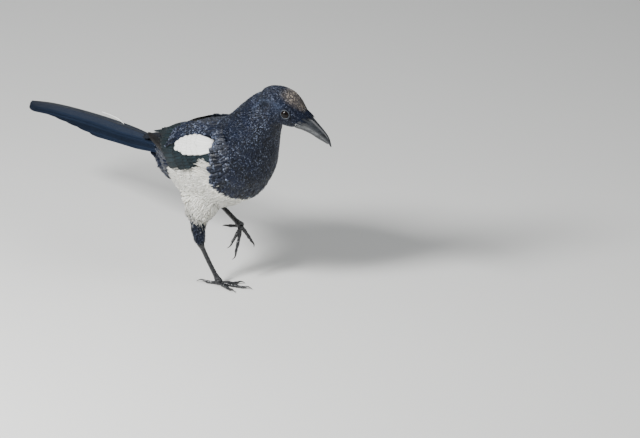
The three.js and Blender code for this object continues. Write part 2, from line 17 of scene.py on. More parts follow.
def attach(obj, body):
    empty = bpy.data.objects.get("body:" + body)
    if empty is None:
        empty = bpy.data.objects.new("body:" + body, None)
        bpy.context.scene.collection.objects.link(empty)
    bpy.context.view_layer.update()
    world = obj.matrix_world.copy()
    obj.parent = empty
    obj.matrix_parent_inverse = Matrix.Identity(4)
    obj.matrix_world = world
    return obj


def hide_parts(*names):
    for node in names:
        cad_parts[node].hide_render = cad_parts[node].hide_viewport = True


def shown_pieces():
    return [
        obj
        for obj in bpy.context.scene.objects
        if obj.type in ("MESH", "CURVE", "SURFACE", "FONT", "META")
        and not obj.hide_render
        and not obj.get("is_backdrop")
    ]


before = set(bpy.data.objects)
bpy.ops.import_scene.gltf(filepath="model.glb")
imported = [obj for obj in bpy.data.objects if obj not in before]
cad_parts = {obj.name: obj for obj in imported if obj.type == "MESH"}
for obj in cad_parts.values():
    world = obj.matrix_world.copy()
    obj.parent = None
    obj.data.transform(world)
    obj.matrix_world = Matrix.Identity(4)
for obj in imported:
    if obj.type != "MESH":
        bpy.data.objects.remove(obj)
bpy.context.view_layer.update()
MM = 0.001
SHIFT = np.array([90.279, 0, 0])  # from the bird's own frame to the row frame
rng = np.random.default_rng(7)

# %% [markdown]
# ## Curves and lofts
# A bird's body changes smoothly from the tail to the bill, so it is drawn as a loft: a few stations, each with a
# centre, a tilt and a width, height and depth. A spline through the stations gives any section between them.
# The same loft later says where each feather is rooted and which way is backwards.

# %% Splines, axes and lofts
def smooth(points, t):
    """Points of a smooth spline through p, where t runs from 0 at the first point to 1 at the last."""
    p = np.asarray(points, float)
    p = np.vstack([2 * p[0] - p[1], p, 2 * p[-1] - p[-2]])
    place = np.clip(np.asarray(t, float) * (len(p) - 3), 0, len(p) - 3 - 1e-9)
    i = place.astype(int)
    f = (place - i)[..., None]
    a, b, c, d = p[i], p[i + 1], p[i + 2], p[i + 3]
    return 0.5 * (2 * b + (c - a) * f + (2 * a - 5 * b + 4 * c - d) * f**2 + (3 * b - a - 3 * c + d) * f**3)


def unit(v):
    return v / np.maximum(np.linalg.norm(v, axis=-1, keepdims=True), 1e-9)


def mix(a, b, t):
    return a + (b - a) * t


def fade(low, high, value):
    """0 below low, 1 above high, and smooth between."""
    t = np.clip((value - low) / (high - low), 0, 1)
    return t * t * (3 - 2 * t)


def axes(pitch, yaw):
    """Ahead, left and up for something that points along a pitch and a yaw in degrees."""
    p, w = np.radians(pitch), np.radians(yaw)
    ahead = np.stack([np.cos(p) * np.cos(w), np.cos(p) * np.sin(w), np.sin(p)], -1)
    left = np.stack([-np.sin(w), np.cos(w), 0 * w], -1)
    return ahead, left, np.cross(ahead, left)


class Loft:
    """A body through stations. Each has a middle, a width, a reach up and down, and the way that it faces."""

    def __init__(self, stations):
        self.stations = np.array(stations, float)
        self.steps = np.linspace(0, 1, 400)
        self.xs = smooth(self.stations, self.steps)[:, 0]

    def at(self, x):
        return np.interp(x, self.xs, self.steps)

    def radius(self, t):
        s = smooth(self.stations, t)
        return (s[..., 3] + s[..., 4]) / 2

    def girth(self, t):
        return 2 * math.pi * float(self.radius(t))

    def point(self, t, angle, grow=0.0):
        """angle runs in degrees from the right side, over the back, to the left side."""
        s = smooth(self.stations, t)
        _, left, up = axes(s[..., 6], s[..., 7])
        c, v = np.cos(np.radians(angle)), np.sin(np.radians(angle))
        across = -c * (s[..., 3] + grow)
        rise = v * (np.where(v > 0, s[..., 4], s[..., 5]) + grow)
        return s[..., :3] + left * across[..., None] + up * rise[..., None]

    def grid(self, rows, sides, grow=0.0):
        t, a = np.meshgrid(np.linspace(0, 1, rows + 1), np.arange(sides) * 360 / sides, indexing="ij")
        return self.point(t, a, grow)


print("curves ready")

# %% [markdown]
# ## Trunk and head
# The trunk rises from the tail to the base of the neck, and the head has a frame of its own, because it is lowered
# and turned to the left. Each station is x, y, z, half width, reach up, reach down, pitch and yaw.

# %% The lofts of trunk and head
trunk = Loft([
    (-99, 0, 113, 6, 5, 5, 15, 0),
    (-90, 0, 113, 13, 10, 11, 12, 0),
    (-76, 0, 112, 21, 18, 21, 8, 0),
    (-56, 0, 115, 31, 28, 37.5, 10, 0),
    (-28, 0, 119, 38, 36, 47, 15, 0),
    (-2, 0, 127, 38, 37, 43.5, 28, 0),
    (18, 0, 139, 34, 35, 36.5, 40, 0),
    (30, 0, 154, 27.5, 30, 29, 50, 4),
    (42, 1, 169, 22, 26.5, 21, 44, 10),
    (52, 3, 180, 18, 24, 17, 28, 18),
    (60, 5, 185, 15, 20, 12, 10, 24),
])
skull = Loft([
    (-31, 0, 0, 2, 2, 2, 0, 0),
    (-27, 0, 0, 9, 8.5, 10, 0, 0),
    (-19, 0, 0, 13.5, 14.4, 15, 0, 0),
    (-9, 0, 0, 15, 17.6, 16.5, 0, 0),
    (1, 0, 0, 14.2, 16.3, 15.5, 0, 0),
    (9, 0, 0, 11.3, 12.9, 12.5, 0, 0),
    (15, 0, 1, 8.6, 8.7, 9.5, 0, 0),
    (20, 0, 2, 6, 6, 8, 0, 0),
    (23, 0, 2, 2, 2, 3, 0, 0),
])
HEAD_PLACE = np.array([73.0, 8.0, 189.0])
HEAD_TURN = np.array(axes(-33.0, 30.0))  # rows: ahead, left, up


def head_to_body(points):
    return np.asarray(points) @ HEAD_TURN + HEAD_PLACE


def body_to_head(points):
    return (np.asarray(points) - HEAD_PLACE) @ HEAD_TURN.T


print("neck to vent", round(float(trunk.xs[-1] - trunk.xs[0])), "mm along")

# %% [markdown]
# ## Tubes and meshes
# Legs, toes, claws and the fluff at the top of a leg are all tubes along a path, with a radius at each point.
# Meshes are filled straight from number arrays, which is fast enough for hundreds of thousands of faces.

# %% Tubes, and a mesh from arrays
def turns(sides):
    """The angles of the points round a tube, half a step off its front."""
    return (np.arange(sides) + 0.5) / sides * 2 * np.pi


def tube_rings(path, radii, sides, forward=(1, 0, 0)):
    path = np.asarray(path, float)
    radii = np.asarray(radii, float)
    way = unit(np.gradient(path, axis=0))
    across = unit(np.cross(way, np.asarray(forward, float)))
    front = np.cross(across, way)
    a = turns(sides)
    out = front[:, None] * np.cos(a)[None, :, None] + across[:, None] * np.sin(a)[None, :, None]
    if radii.ndim == 1:
        radii = radii[:, None]
    return path[:, None] + out * radii[..., None]


def ring_faces(rows, sides):
    """Quads round a stack of rings, and a fan at each end whose middle points follow the rings."""
    i, j = np.meshgrid(np.arange(rows - 1), np.arange(sides), indexing="ij")
    a, b = i * sides + j, i * sides + (j + 1) % sides
    quads = np.stack([a, b, b + sides, a + sides], -1).reshape(-1, 4).tolist()
    last = (rows - 1) * sides
    first_middle, last_middle = rows * sides, rows * sides + 1
    start = [(first_middle, (k + 1) % sides, k) for k in range(sides)]
    end = [(last_middle, last + k, last + (k + 1) % sides) for k in range(sides)]
    return quads + start + end


def ring_solid(rings):
    """Points and faces of a closed skin round rings of points."""
    rows, sides, _ = rings.shape
    points = np.vstack([rings.reshape(-1, 3), rings[0].mean(0), rings[-1].mean(0)])
    return points, ring_faces(rows, sides)


def join_solids(solids):
    """Several (points, faces) as one."""
    points, faces, base = [], [], 0
    for p, f in solids:
        points.append(p)
        faces.extend([tuple(np.add(face, base)) for face in f])
        base += len(p)
    return np.vstack(points), faces


def make_mesh(name, points, faces, smooth_shading=True):
    """A mesh object in the row frame from points in millimetres."""
    mesh = bpy.data.meshes.new(name)
    mesh.from_pydata(((np.asarray(points) + SHIFT) * MM).tolist(), [], [tuple(map(int, f)) for f in faces])
    mesh.validate()
    if smooth_shading:
        mesh.polygons.foreach_set("use_smooth", [True] * len(mesh.polygons))
    made = bpy.data.objects.new(name, mesh)
    bpy.context.collection.objects.link(made)
    return made


def set_attribute(made, name, values):
    """One number for each point of a mesh, which its material can read."""
    made.data.attributes.new(name, "FLOAT", "POINT").data.foreach_set("value", np.asarray(values, np.float32))


print("helpers ready")

# %% [markdown]
# ## Legs and loose bulk
# A bird's shin is hidden in feathers down to the ankle, and white fluff makes its upper part thick. The right leg
# stands and the left one is lifted. Under the tail and behind the thighs, long loose feathers need some bulk too.

# %% The legs' paths and the loose bulk
COAT = 1.4  # the depth of the coat over the skin
HEAD_COAT = COAT * 0.7
SHIN_COAT = 0.2
LEGS = {
    "right": {"knee": (-8, -16, 98), "shin": (-24, -18, 64), "ankle": (-26, -15, 40.2), "ball": (-15, -2.2, 3.1)},
    "left": {"knee": (-2, 16, 108), "shin": (-34, 18, 81), "ankle": (-46, 18, 71), "ball": (-8, 18, 54)},
}
FULL_HEM = {"right": 0.5, "left": 8 / 12}  # where the taper of the fluff would end
HEM = {"right": 0.38, "left": 0.57}  # how far down the shin the white fluff reaches


def shin_path(leg, t):
    return smooth([leg["knee"], leg["shin"], leg["ankle"]], t)


def shin_skin(t):
    """The radius of the skin of the shin, which is the same for both legs."""
    return mix(11, 3.3, np.power(t, 0.75)) - SHIN_COAT


def fluff_skin(t, side):
    """The radius of the skin under the white fluff, widest in the middle of it."""
    s = t / FULL_HEM[side]
    return np.where(s < 0.5, mix(13, 15, 2 * s), mix(15, 8.5, 2 * s - 1)) - COAT


def leg_solids(side):
    down = np.linspace(0, 1, 25)
    fluffy = np.linspace(0, HEM[side], 17)
    shin = tube_rings(shin_path(LEGS[side], down), shin_skin(down), 20)
    fluff = tube_rings(shin_path(LEGS[side], fluffy), fluff_skin(fluffy, side), 24)
    return [ring_solid(shin), ring_solid(fluff)]


def soft_parts():
    """The loose bulk under the tail and behind each thigh, where long feathers stand off the body."""
    tubes = []
    for side in (-1, 1):
        under_tail = [(-94, 5 * side, 110), (-87, 6 * side, 106.5), (-79, 7 * side, 102), (-68, 8 * side, 100)]
        tubes.append((under_tail, [4, 7.2, 7.8, 11.5]))
    tubes.append(([(-34, -12, 92), (-32, -14, 80), (-28, -17, 68), (-24, -18, 60)], [14, 11.6, 7.6, 4]))
    tubes.append(([(-38, 12, 96), (-38, 15, 87), (-36, 17, 80)], [13, 11, 8.5]))
    return [ring_solid(tube_rings(path, radii, 24)) for path, radii in tubes]


print("hem of the fluff, as a share of the shin", HEM)

# %% [markdown]
# ## The skin
# Under a real coat is one skin from the bill to the tail and down to the ankles. The lofts of trunk and head, the
# shins and the bulk round them are laid into each other, a voxel remesh makes them one surface, and smoothing
# melts the creases. It lies inside the solids by the depth of the coat.

# %% The skin
VOXEL = 1.25  # the cell of the remesh


def bake_modifiers(made):
    """Makes what the modifiers do a part of the mesh."""
    evaluated = made.evaluated_get(bpy.context.evaluated_depsgraph_get())
    mesh = bpy.data.meshes.new_from_object(evaluated)
    made.modifiers.clear()
    made.data = mesh
    mesh.polygons.foreach_set("use_smooth", [True] * len(mesh.polygons))


def points_of(made):
    """The points of a mesh in the bird's own frame, in millimetres."""
    flat = np.empty(len(made.data.vertices) * 3)
    made.data.vertices.foreach_get("co", flat)
    return flat.reshape(-1, 3) / MM - SHIFT


def soften(made, name, passes, group=None):
    """Smooths a mesh, within a group of its points if one is named."""
    modifier = made.modifiers.new(name, "SMOOTH")
    modifier.factor = 0.5
    modifier.iterations = passes
    modifier.vertex_group = group or ""
    bake_modifiers(made)


def make_skin():
    head = ring_solid(head_to_body(skull.grid(40, 48, -HEAD_COAT)))
    nape = ring_solid(tube_rings([(68, 6, 196), (56, 3, 190), (44, 1, 178)], [14.2, 14.8, 19], 40))
    body = ring_solid(trunk.grid(90, 72, -COAT))
    made = make_mesh("skin", *join_solids([body, head, nape, *leg_solids("right"), *leg_solids("left"), *soft_parts()]))
    remesh = made.modifiers.new("one surface", "REMESH")
    remesh.mode = "VOXEL"
    remesh.voxel_size = VOXEL * MM
    soften(made, "soft creases", 10)
    x, _, z = body_to_head(points_of(made)).T
    share = fade(-36, -26, x) * (1 - fade(-12, -4, x)) * fade(-22, -8, z)
    group = made.vertex_groups.new(name="nape")
    for index in np.flatnonzero(share > 0.02):
        group.add([int(index)], float(share[index]), "REPLACE")
    soften(made, "soft nape", 70, "nape")
    return made


skin = make_skin()
skin_points = points_of(skin)
skin_faces = [tuple(p.vertices) for p in skin.data.polygons]
skin_tree = BVHTree.FromPolygons(skin_points.tolist(), skin_faces)
print("skin faces", len(skin_faces))

# %% [markdown]
# ## One unwrap for skin and coat
# The unwrap lays the skin out as charts: the trunk is rolled out along its loft, the head beside it and the two
# shins below that. Each feather of the coat takes one small patch of it, at the place of its root.

# %% The unwrap
PATCH = 0.003  # the size of a feather's patch on the unwrap
TRUNK_CHART = (0.02, 0.02, 0.6, 0.96)  # left, bottom, width and height of each chart
HEAD_CHART = (0.66, 0.52, 0.32, 0.46)
LEG_CHARTS = {"right": (0.66, 0.02, 0.32, 0.22), "left": (0.66, 0.26, 0.32, 0.22)}
CHART_TOP = {"right": 76, "left": 84}  # a leg's chart ends at this height


def round_the(centre, left, up, points):
    """How far round an axis points lie, from 0 to 1."""
    out = points - centre
    return np.arctan2((out * up).sum(-1), -(out * left).sum(-1)) / (2 * np.pi) % 1.0


def on_chart(chart, along, turn):
    return np.stack([chart[0] + chart[2] * along, chart[1] + chart[3] * turn], -1)


def unwrap(points):
    """Where points near the skin lie on its unwrap."""
    points = np.asarray(points, float)
    front, across, up_axis = np.eye(3)
    t = trunk.at(points[:, 0])
    s = smooth(trunk.stations, t)
    _, left, up = axes(s[:, 6], s[:, 7])
    uv = on_chart(TRUNK_CHART, t, round_the(s[:, :3], left, up, points))
    local = body_to_head(points)
    on_head = (local[:, 0] > -24) & (np.linalg.norm(local / [1.6, 1, 1], axis=1) < 21)
    turn = round_the(local * front, across, up_axis, local)
    uv = np.where(on_head[:, None], on_chart(HEAD_CHART, skull.at(local[:, 0]), turn), uv)
    for side, chart in LEG_CHARTS.items():
        path = shin_path(LEGS[side], np.linspace(0, 1, 40))
        gaps = np.linalg.norm(points[:, None] - path[None], axis=2)
        k = gaps.argmin(1)
        on_leg = (points[:, 2] < CHART_TOP[side]) & (gaps.min(1) < 17)
        turn = round_the(path[k], across, front, points)
        uv = np.where(on_leg[:, None], on_chart(chart, k / 40, turn), uv)
    return uv


def add_unwrap(made, corner_uv):
    layer = made.data.uv_layers.new(name="OFBake")
    layer.data.foreach_set("uv", np.asarray(corner_uv, np.float32).ravel())


def corners_of(made):
    corners = np.empty(len(made.data.loops), int)
    made.data.loops.foreach_get("vertex_index", corners)
    return corners


# A face across the seam of a chart is folded onto its first corner's side.
skin_uv = unwrap(skin_points)[corners_of(skin)]
starts = np.empty(len(skin.data.polygons), int)
skin.data.polygons.foreach_get("loop_start", starts)
face_of = np.searchsorted(starts, np.arange(len(skin_uv)), side="right") - 1
jump = np.abs(skin_uv - skin_uv[starts][face_of]).max(1) > 0.1
skin_uv[jump] = skin_uv[starts][face_of][jump]
add_unwrap(skin, skin_uv)
print("corners folded at the charts' seams", int(jump.sum()))

# %% [markdown]
# ## Where the plumage is black and where it is white
# A magpie's marks are sharp: a black bib that ends on the breast, a white belly and flanks, a black vent, and
# white shoulders. One function of place gives the marks to the skin and to each feather alike, and a second gives
# the places of painted highlights.

# %% Markings
BIB_EDGE = [(24, 50), (24, 92), (18, 99), (12, 105), (8, 113), (8, 124), (10, 136), (16, 160)]  # as (x, z)
bib_curve = smooth(BIB_EDGE, np.linspace(0, 1, 60))


def whiteness(points):
    """1 where the plumage is white, 0 where it is black."""
    x, _, z = np.asarray(points, float).T
    behind_bib = np.interp(z, bib_curve[:, 1], bib_curve[:, 0]) - x
    ahead_of_vent = x + 62 - 0.5 * (z - 100)
    below_mantle = 131 + 0.35 * x - z
    return fade(-0.8, 0.8, np.minimum(np.minimum(behind_bib, ahead_of_vent), below_mantle))


def bell(distance, reach):
    """1 in the middle, and nearly 0 from twice the reach on."""
    return np.exp(-((distance / reach) ** 2))


# Places where highlights are painted into the colour: a brownish one on the crown, and pale bluish ones in an arc
# behind the ear, behind the eye and at the shoulder.
def painted_highlight_place(points):
    """How far a place is in the painted brownish highlight on the crown, and in the painted bluish highlights in an arc
    behind the ear, behind the eye and at the shoulder.
    """
    points = np.asarray(points, float)
    x, y, z = body_to_head(points).T
    bronze = fade(8, 13, z) * fade(-18, -6, x)
    arc = bell(np.hypot(x + 11, z + 13.5) - 16, 1.7) * (1 - fade(-14, -8, x)) * fade(-25, -15, z) * (np.abs(y) > 5)
    behind_eye = bell(np.hypot(x + 8, z - 2.5), 3.5)
    shoulder = bell(np.linalg.norm((points - [14, 0, 153]) * [1, 0, 1], axis=1), 6) * (np.abs(points[:, 1]) > 24)
    return bronze, np.clip(0.8 * arc + 0.6 * behind_eye + 0.55 * shoulder, 0, 1)


skin_white = whiteness(skin_points) * fade(60, 66, skin_points[:, 2])
set_attribute(skin, "white", skin_white)
# The skin carries the places of the painted highlights too.
for key, value in zip(("bronze", "blue"), painted_highlight_place(skin_points)):
    set_attribute(skin, key, value)
for key, value in (("tint", 0.5), ("along", 0.0), ("across", 0.0)):
    set_attribute(skin, key, np.full(len(skin_points), value))
print("share of white skin", round(float(skin_white.mean()), 2))

# %% [markdown]
# ## Body feathers
# A contour feather is a small, thin, slightly hollow blade that lies back along the body and hides most of the
# one behind it. Hair systems would be lost on export, so each feather is a closed mesh. Its midline is walked over
# the skin in short steps, so that it bends with the body.

# %% Blades that follow the skin
def walk_back(roots, ways, lengths, steps):
    """The midline of each feather on the skin: its points, the skin's normals and the way that it runs."""
    n = len(roots)
    centres, normals, headings = (np.zeros((n, steps + 1, 3)) for _ in range(3))
    for k in range(n):
        p, d = Vector(roots[k]), Vector(ways[k])
        step = lengths[k] / steps
        for i in range(steps + 1):
            near, normal, _, _ = skin_tree.find_nearest(p)
            d = (d - normal * d.dot(normal)).normalized()
            centres[k, i], normals[k, i], headings[k, i] = near, normal, d
            p = near + d * step
    return centres, normals, headings


BLADE_DEPTH = 0.25
BLADE_SHAPES = {
    "rounded": ([0, 0.25, 0.6, 0.85, 1], [0.4, 0.9, 1.0, 0.8, 0.22]),
    "pointed": ([0, 0.25, 0.55, 0.8, 1], [0.55, 1.0, 0.85, 0.5, 0.06]),
}


def blade_faces(rows, columns):
    """Quads of a closed blade: a top and an underside that share their border."""
    top = np.arange(rows * columns).reshape(rows, columns)
    under = top.copy()
    inner = (rows - 2) * (columns - 2)
    under[1:-1, 1:-1] = rows * columns + np.arange(inner).reshape(rows - 2, columns - 2)
    quads = []
    for i in range(rows - 1):
        for j in range(columns - 1):
            quads.append((top[i, j], top[i, j + 1], top[i + 1, j + 1], top[i + 1, j]))
            quads.append((under[i, j], under[i + 1, j], under[i + 1, j + 1], under[i, j + 1]))
    return np.array(quads), rows * columns + inner


print("feather shapes", list(BLADE_SHAPES))

# %% [markdown]
# ## A piece of coat
# One call makes all feathers of a tract as one mesh. Each differs a little in length, width, lift and roll. Its
# root is sunk in the skin, its tip is frayed, and its points carry the marks and the painted highlights of the place
# that it shows.

# %% A piece of coat
planted = []  # for each piece, its feathers' roots, ways, lengths, half widths, lifts and whiteness


def coat_piece(name, roots, ways, length, half, lift, shape="rounded", white=None, spread=0.08, fine=True,
               sink=0.5, uneven=0.1, hollow=0.2):
    """One mesh of many feathers. length, half and lift may be one number or one for each root."""
    n = len(roots)
    length = np.broadcast_to(length, n) * (1 + rng.uniform(-0.15, 0.15, n))
    half = np.broadcast_to(half, n) * (1 + rng.uniform(-0.12, 0.12, n))
    lift = np.broadcast_to(lift, n) * (1 + rng.uniform(-0.25, 0.25, n))
    sides = unit(np.cross(ways, rng.normal(size=(n, 3))))
    ways = unit(ways + sides * rng.uniform(-spread, spread, (n, 1)))
    s = np.linspace(0, 1, 6 if fine else 5)
    c = np.linspace(-1, 1, 5 if fine else 3)
    centres, normals, headings = walk_back(roots, ways, length, len(s) - 1)
    across = unit(np.cross(normals, headings))
    roll = rng.uniform(-uneven, uneven, (n, 1, 1))
    width = (half[:, None] * np.interp(s, *BLADE_SHAPES[shape]))[..., None] * c
    height = (-sink + (lift[:, None] + sink) * np.power(s, 0.8))[..., None] + roll * width
    height = height - hollow * c**2 * half[:, None, None]
    top = centres[:, :, None] + across[:, :, None] * width[..., None] + normals[:, :, None] * height[..., None]
    fringe = rng.uniform(0, 0.06, (n, len(c), 1)) * length[:, None, None]
    top[:, -1] -= headings[:, -1, None] * fringe
    arc = 0.7 * half[:, None, None] * (s**3)[None, :, None] * (c**2)[None, None, :]
    top -= headings[:, :, None] * arc[..., None]
    under = top[:, 1:-1, 1:-1] - normals[:, 1:-1, None] * BLADE_DEPTH
    points = np.concatenate([top.reshape(n, -1, 3), under.reshape(n, -1, 3)], 1)
    quads, per = blade_faces(len(s), len(c))
    faces = (quads[None] + (np.arange(n) * per)[:, None, None]).reshape(-1, 4)
    made = make_mesh(name, points.reshape(-1, 3), faces)

    def per_point(top_values):
        inner = top_values[:, 1:-1, 1:-1].reshape(n, -1)
        return np.concatenate([top_values.reshape(n, -1), inner], 1).ravel()

    along = per_point(np.broadcast_to(s[None, :, None], width.shape))
    sideways = per_point(np.broadcast_to(c[None, None, :], width.shape))
    seen = centres[:, round(0.7 * (len(s) - 1))]
    marks = whiteness(seen) if white is None else np.broadcast_to(white, n)
    planted.append(np.column_stack([roots, ways, length, half, lift, marks]))
    # Where the feather lies in the painted highlights of crown, ear, eye and shoulder.
    bronze, blue = painted_highlight_place(seen)
    if white is None:
        flat = points.reshape(-1, 3)
        set_attribute(made, "white", whiteness(mix(np.repeat(seen, per, axis=0), flat, 0.6)))
    else:
        set_attribute(made, "white", np.repeat(marks, per))
    for key, value in (("bronze", bronze), ("blue", blue), ("tint", rng.uniform(0, 1, n))):
        set_attribute(made, key, np.repeat(value, per))
    set_attribute(made, "along", along)
    set_attribute(made, "across", sideways)
    uv = np.repeat(unwrap(centres[:, 0]), per, axis=0)
    uv += np.stack([along - 0.5, sideways * 0.5], -1) * PATCH
    add_unwrap(made, uv[corners_of(made)])
    print(name, n, "feathers,", 2 * len(faces), "triangles")
    return made


print("quads in a fine and in a plain feather", len(blade_faces(6, 5)[0]), len(blade_faces(5, 3)[0]))

# %% [markdown]
# ## Rows of roots
# Feathers grow in tracts, with the roots of each row between those of the row before. The rows go round the trunk,
# the head or a leg, and each root is a little out of line, as in life.

# %% Rows of roots
def brick_roots(spot, lie, length, girth, row_gap, root_gap, start=0.0, end=1.0):
    """Roots in staggered rows over a surface, each a little out of line, with the way that each feather lies."""
    rows = max(2, int(length * (end - start) / row_gap))
    found, heads = [], []
    for i in range(rows):
        t = start + (end - start) * (i + 0.5) / rows
        count = max(4, int(girth(t) / root_gap))
        a = (np.arange(count) + 0.5 * (i % 2) + rng.uniform(-0.25, 0.25, count)) * 360 / count
        tt = np.clip(t + rng.uniform(-0.3, 0.3, count) * (end - start) / rows, 0.001, 0.999)
        found.append(spot(tt, a))
        heads.append(lie(tt, a))
    return np.vstack(found), unit(np.vstack(heads))


def on_skin(roots, ways, reach=2.6):
    """Keeps the roots that lie on the joined skin, and not inside another part of it."""
    gap = np.array([(Vector(p) - skin_tree.find_nearest(Vector(p))[0]).length for p in roots])
    keep = gap < reach
    return roots[keep], ways[keep]


print("coat helpers ready")

# %% [markdown]
# ## The coat's regions
# Feathers are tiny round the bill, small on the head, scale-like on the mantle, and long and loose on the belly.
# So each region has its own spacing, length and width. Where a wing lies over the body no feathers are rooted.

# %% Roots on the trunk, split into regions
TRUNK_LENGTH = 190.0
folded = Loft([
    (-122, 0, 116.5, 9, 8, 8, 8, 0),
    (-104, 0, 118, 12, 10, 10, 8, 0),
    (-88, 0, 118, 18, 14.5, 15, 8, 0),
    (-74, 0, 117.5, 24, 20, 22, 9, 0),
    (-56, 0, 118, 32, 28.5, 32, 12, 0),
    (-28, 0, 120, 38.5, 37.5, 43, 18, 0),
    (-2, 0, 127.5, 39, 38.5, 44, 28, 0),
    (18, 0, 139, 35, 35.5, 36, 40, 0),
    (30, 0, 154, 27.5, 30.5, 27, 50, 0),
])  # the surface on which the folded wings lie
WING_X = [-90, -46, -32, -16, 0, 14, 23]
WING_TOP = [10, 19, 21, 27, 34, 39, 42]  # at each x, how far round from the middle of the back the wing starts
WING_BOTTOM = [20, 40, 50, 57, 59, 53, 45]  # and how far round it ends


def under_wing(points):
    """True where the folded wing hides the body."""
    x, y, z = np.asarray(points).T
    s = smooth(folded.stations, folded.at(x))
    angle = np.degrees(np.arctan2(z - s[:, 2], np.abs(y)))
    q = np.radians(90 - angle) * (s[:, 3] + s[:, 4]) / 2
    below_top = q > np.interp(x, WING_X, WING_TOP) + 6
    above_bottom = q < np.interp(x, WING_X, WING_BOTTOM) - 5
    return (x > -88) & (x < 20) & below_top & above_bottom


def trunk_roots(row_gap, root_gap, start, end):
    def spot(t, a):
        return trunk.point(t, a, -COAT)

    def lie(t, a):
        return trunk.point(np.maximum(t - 0.02, 0), a) - trunk.point(t, a)

    return on_skin(*brick_roots(spot, lie, TRUNK_LENGTH, trunk.girth, row_gap, root_gap, start, end))


def coat_of_front():
    """The small dense feathers of breast and neck, ahead of the wings."""
    roots, ways = trunk_roots(1.8, 1.7, WINGS_FRONT, 0.999)
    breast = roots[:, 2] + 0.6 * roots[:, 0] < 176
    return [coat_piece(name, roots[part], ways[part], 7.5, 1.6, 0.7, fine=False)
            for name, part in (("breast_feathers", breast), ("neck_feathers", ~breast))]


def coat_of_trunk():
    """The mantle, the vent and the belly. Loose feathers hang from the vent and from the back of the belly."""
    roots, ways = trunk_roots(2.3, 2.1, 0.03, WINGS_FRONT)
    hidden = under_wing(roots)
    roots, ways = roots[~hidden], ways[~hidden]
    white = whiteness(roots + ways * 6) > 0.5
    x, y, z = roots.T
    back, rear = ~white & (z >= 112), ~white & (z < 112)
    pieces = [
        coat_piece("mantle_feathers", roots[back], ways[back], 9.5, 2.3, 0.9),
        coat_piece("vent_feathers", roots[rear], ways[rear], 11, 1.9, 1.6, spread=0.15),
    ]
    loose = rear & (x < -66) & (z < 106) & (np.abs(y) < 19)
    hang = unit(ways[loose] * 0.8 + [-0.2, 0, -0.4])
    shifted = roots[loose] + rng.uniform(-1, 1, (int(loose.sum()), 3))
    pieces.append(coat_piece("hanging_vent_feathers", np.vstack([roots[loose], shifted]), np.vstack([hang, hang]),
                             11, 1.6, 3.2, "pointed", spread=0.15))
    low = white & (x > -64) & (x < -22) & (z < 92)
    pieces.append(coat_piece("loose_belly_feathers", roots[low], unit(ways[low] * 0.7 + [0, 0, -0.4]),
                             15, 1.2, 2.2, "pointed", spread=0.2, uneven=0.05, hollow=0.08))
    pieces.append(coat_piece("belly_feathers", roots[white], ways[white], 18, 2.2, 0.4, "pointed",
                             uneven=0.03, hollow=0.06))
    return pieces


WINGS_FRONT = float(trunk.at(20))
coat = coat_of_front() + coat_of_trunk()

# %% [markdown]
# ## The face
# Bill and eye are measured in the frame of the head. The coat needs them before they are made, because no feather
# may grow in the bill or lie over the eye.

# %% The face
EYE = {"radius": 4.9, "side": 10.3, "lift": 0.5, "lid": 4.25, "thick": 0.6}
BILL = np.array([
    (13, 9.0, -3.4, -8.6, 8.7),
    (20, 8.3, -1.9, -6.8, 6.6),
    (28, 6.6, -0.9, -5.2, 5.0),
    (35, 5.0, -0.7, -4.9, 3.8),
    (41, 3.1, -1.2, -4.1, 2.8),
    (45.5, 0.4, -2.3, -3.6, 1.7),
    (49.4, -3.2, -4.2, -4.2, 0.5),
])  # x, top, gape, low, half width


def bill_at(x):
    """Top, gape, low and half width of the bill at x."""
    return [np.interp(x, BILL[:, 0], BILL[:, k]) for k in (1, 2, 3, 4)]


def in_bill(local, margin=0.4):
    x, y, z = local.T
    top, gape, low, half = bill_at(x)
    reach = np.where(z > gape, top - gape, gape - low) + margin
    return (x > 13) & ((y / (half + margin)) ** 2 + ((z - gape) / reach) ** 2 < 1)


def near_eye(local, reach):
    return np.hypot(local[:, 0], local[:, 2] - EYE["lift"]) < reach


def clear_of_face(roots, ways, lengths):
    """Drops feathers that would grow in the bill or lie over the eye."""
    keep = np.ones(len(roots), bool)
    for share in (0, 0.35, 0.7, 1.0):
        local = body_to_head(roots + ways * (lengths * share)[:, None])
        keep &= ~in_bill(local) & ~near_eye(local, EYE["lid"] + 0.5)
        keep &= ~((local[:, 0] > 12.8) & (np.abs(local[:, 2] + 2) < 5))
    return keep


print("width of the bill at its root in mm", 2 * BILL[0, 4])

# %% [markdown]
# ## The head's feathers
# The head is velvety. Its feathers are three millimetres long at the bill and six at the nape, and they part round
# the eye, which has a ring of still smaller ones.

# %% The head's feathers
HEAD_LENGTH = 54
DOWN_NAPE = (-0.69, -0.11, -0.71)  # the way that the feathers of the nape lie


def eye_ring_roots():
    """Tiny feathers in rings round the lids. They part in front of the eye and meet again behind it."""
    roots, ways = [], []
    for side in (-1, 1):
        for reach in (4.6, 5.2, 5.9, 6.7, 7.5):
            for turn in np.arange(0, 360, 45 / reach):
                c, v = math.cos(math.radians(turn)), math.sin(math.radians(turn))
                out = np.array([c, 0, v])
                round_it = np.array([-v, 0, c]) * (1 if v > 0 else -1)
                behind = float(fade(100, 170, min(turn, 360 - turn)))
                place = out * reach + [0, side * 14.5, EYE["lift"]]
                near = skin_tree.find_nearest(Vector(head_to_body(place)))[0]
                roots.append(near)
                ways.append(mix(round_it, out, max(behind, 0.15)) @ HEAD_TURN)
    return np.array(roots), unit(np.array(ways))


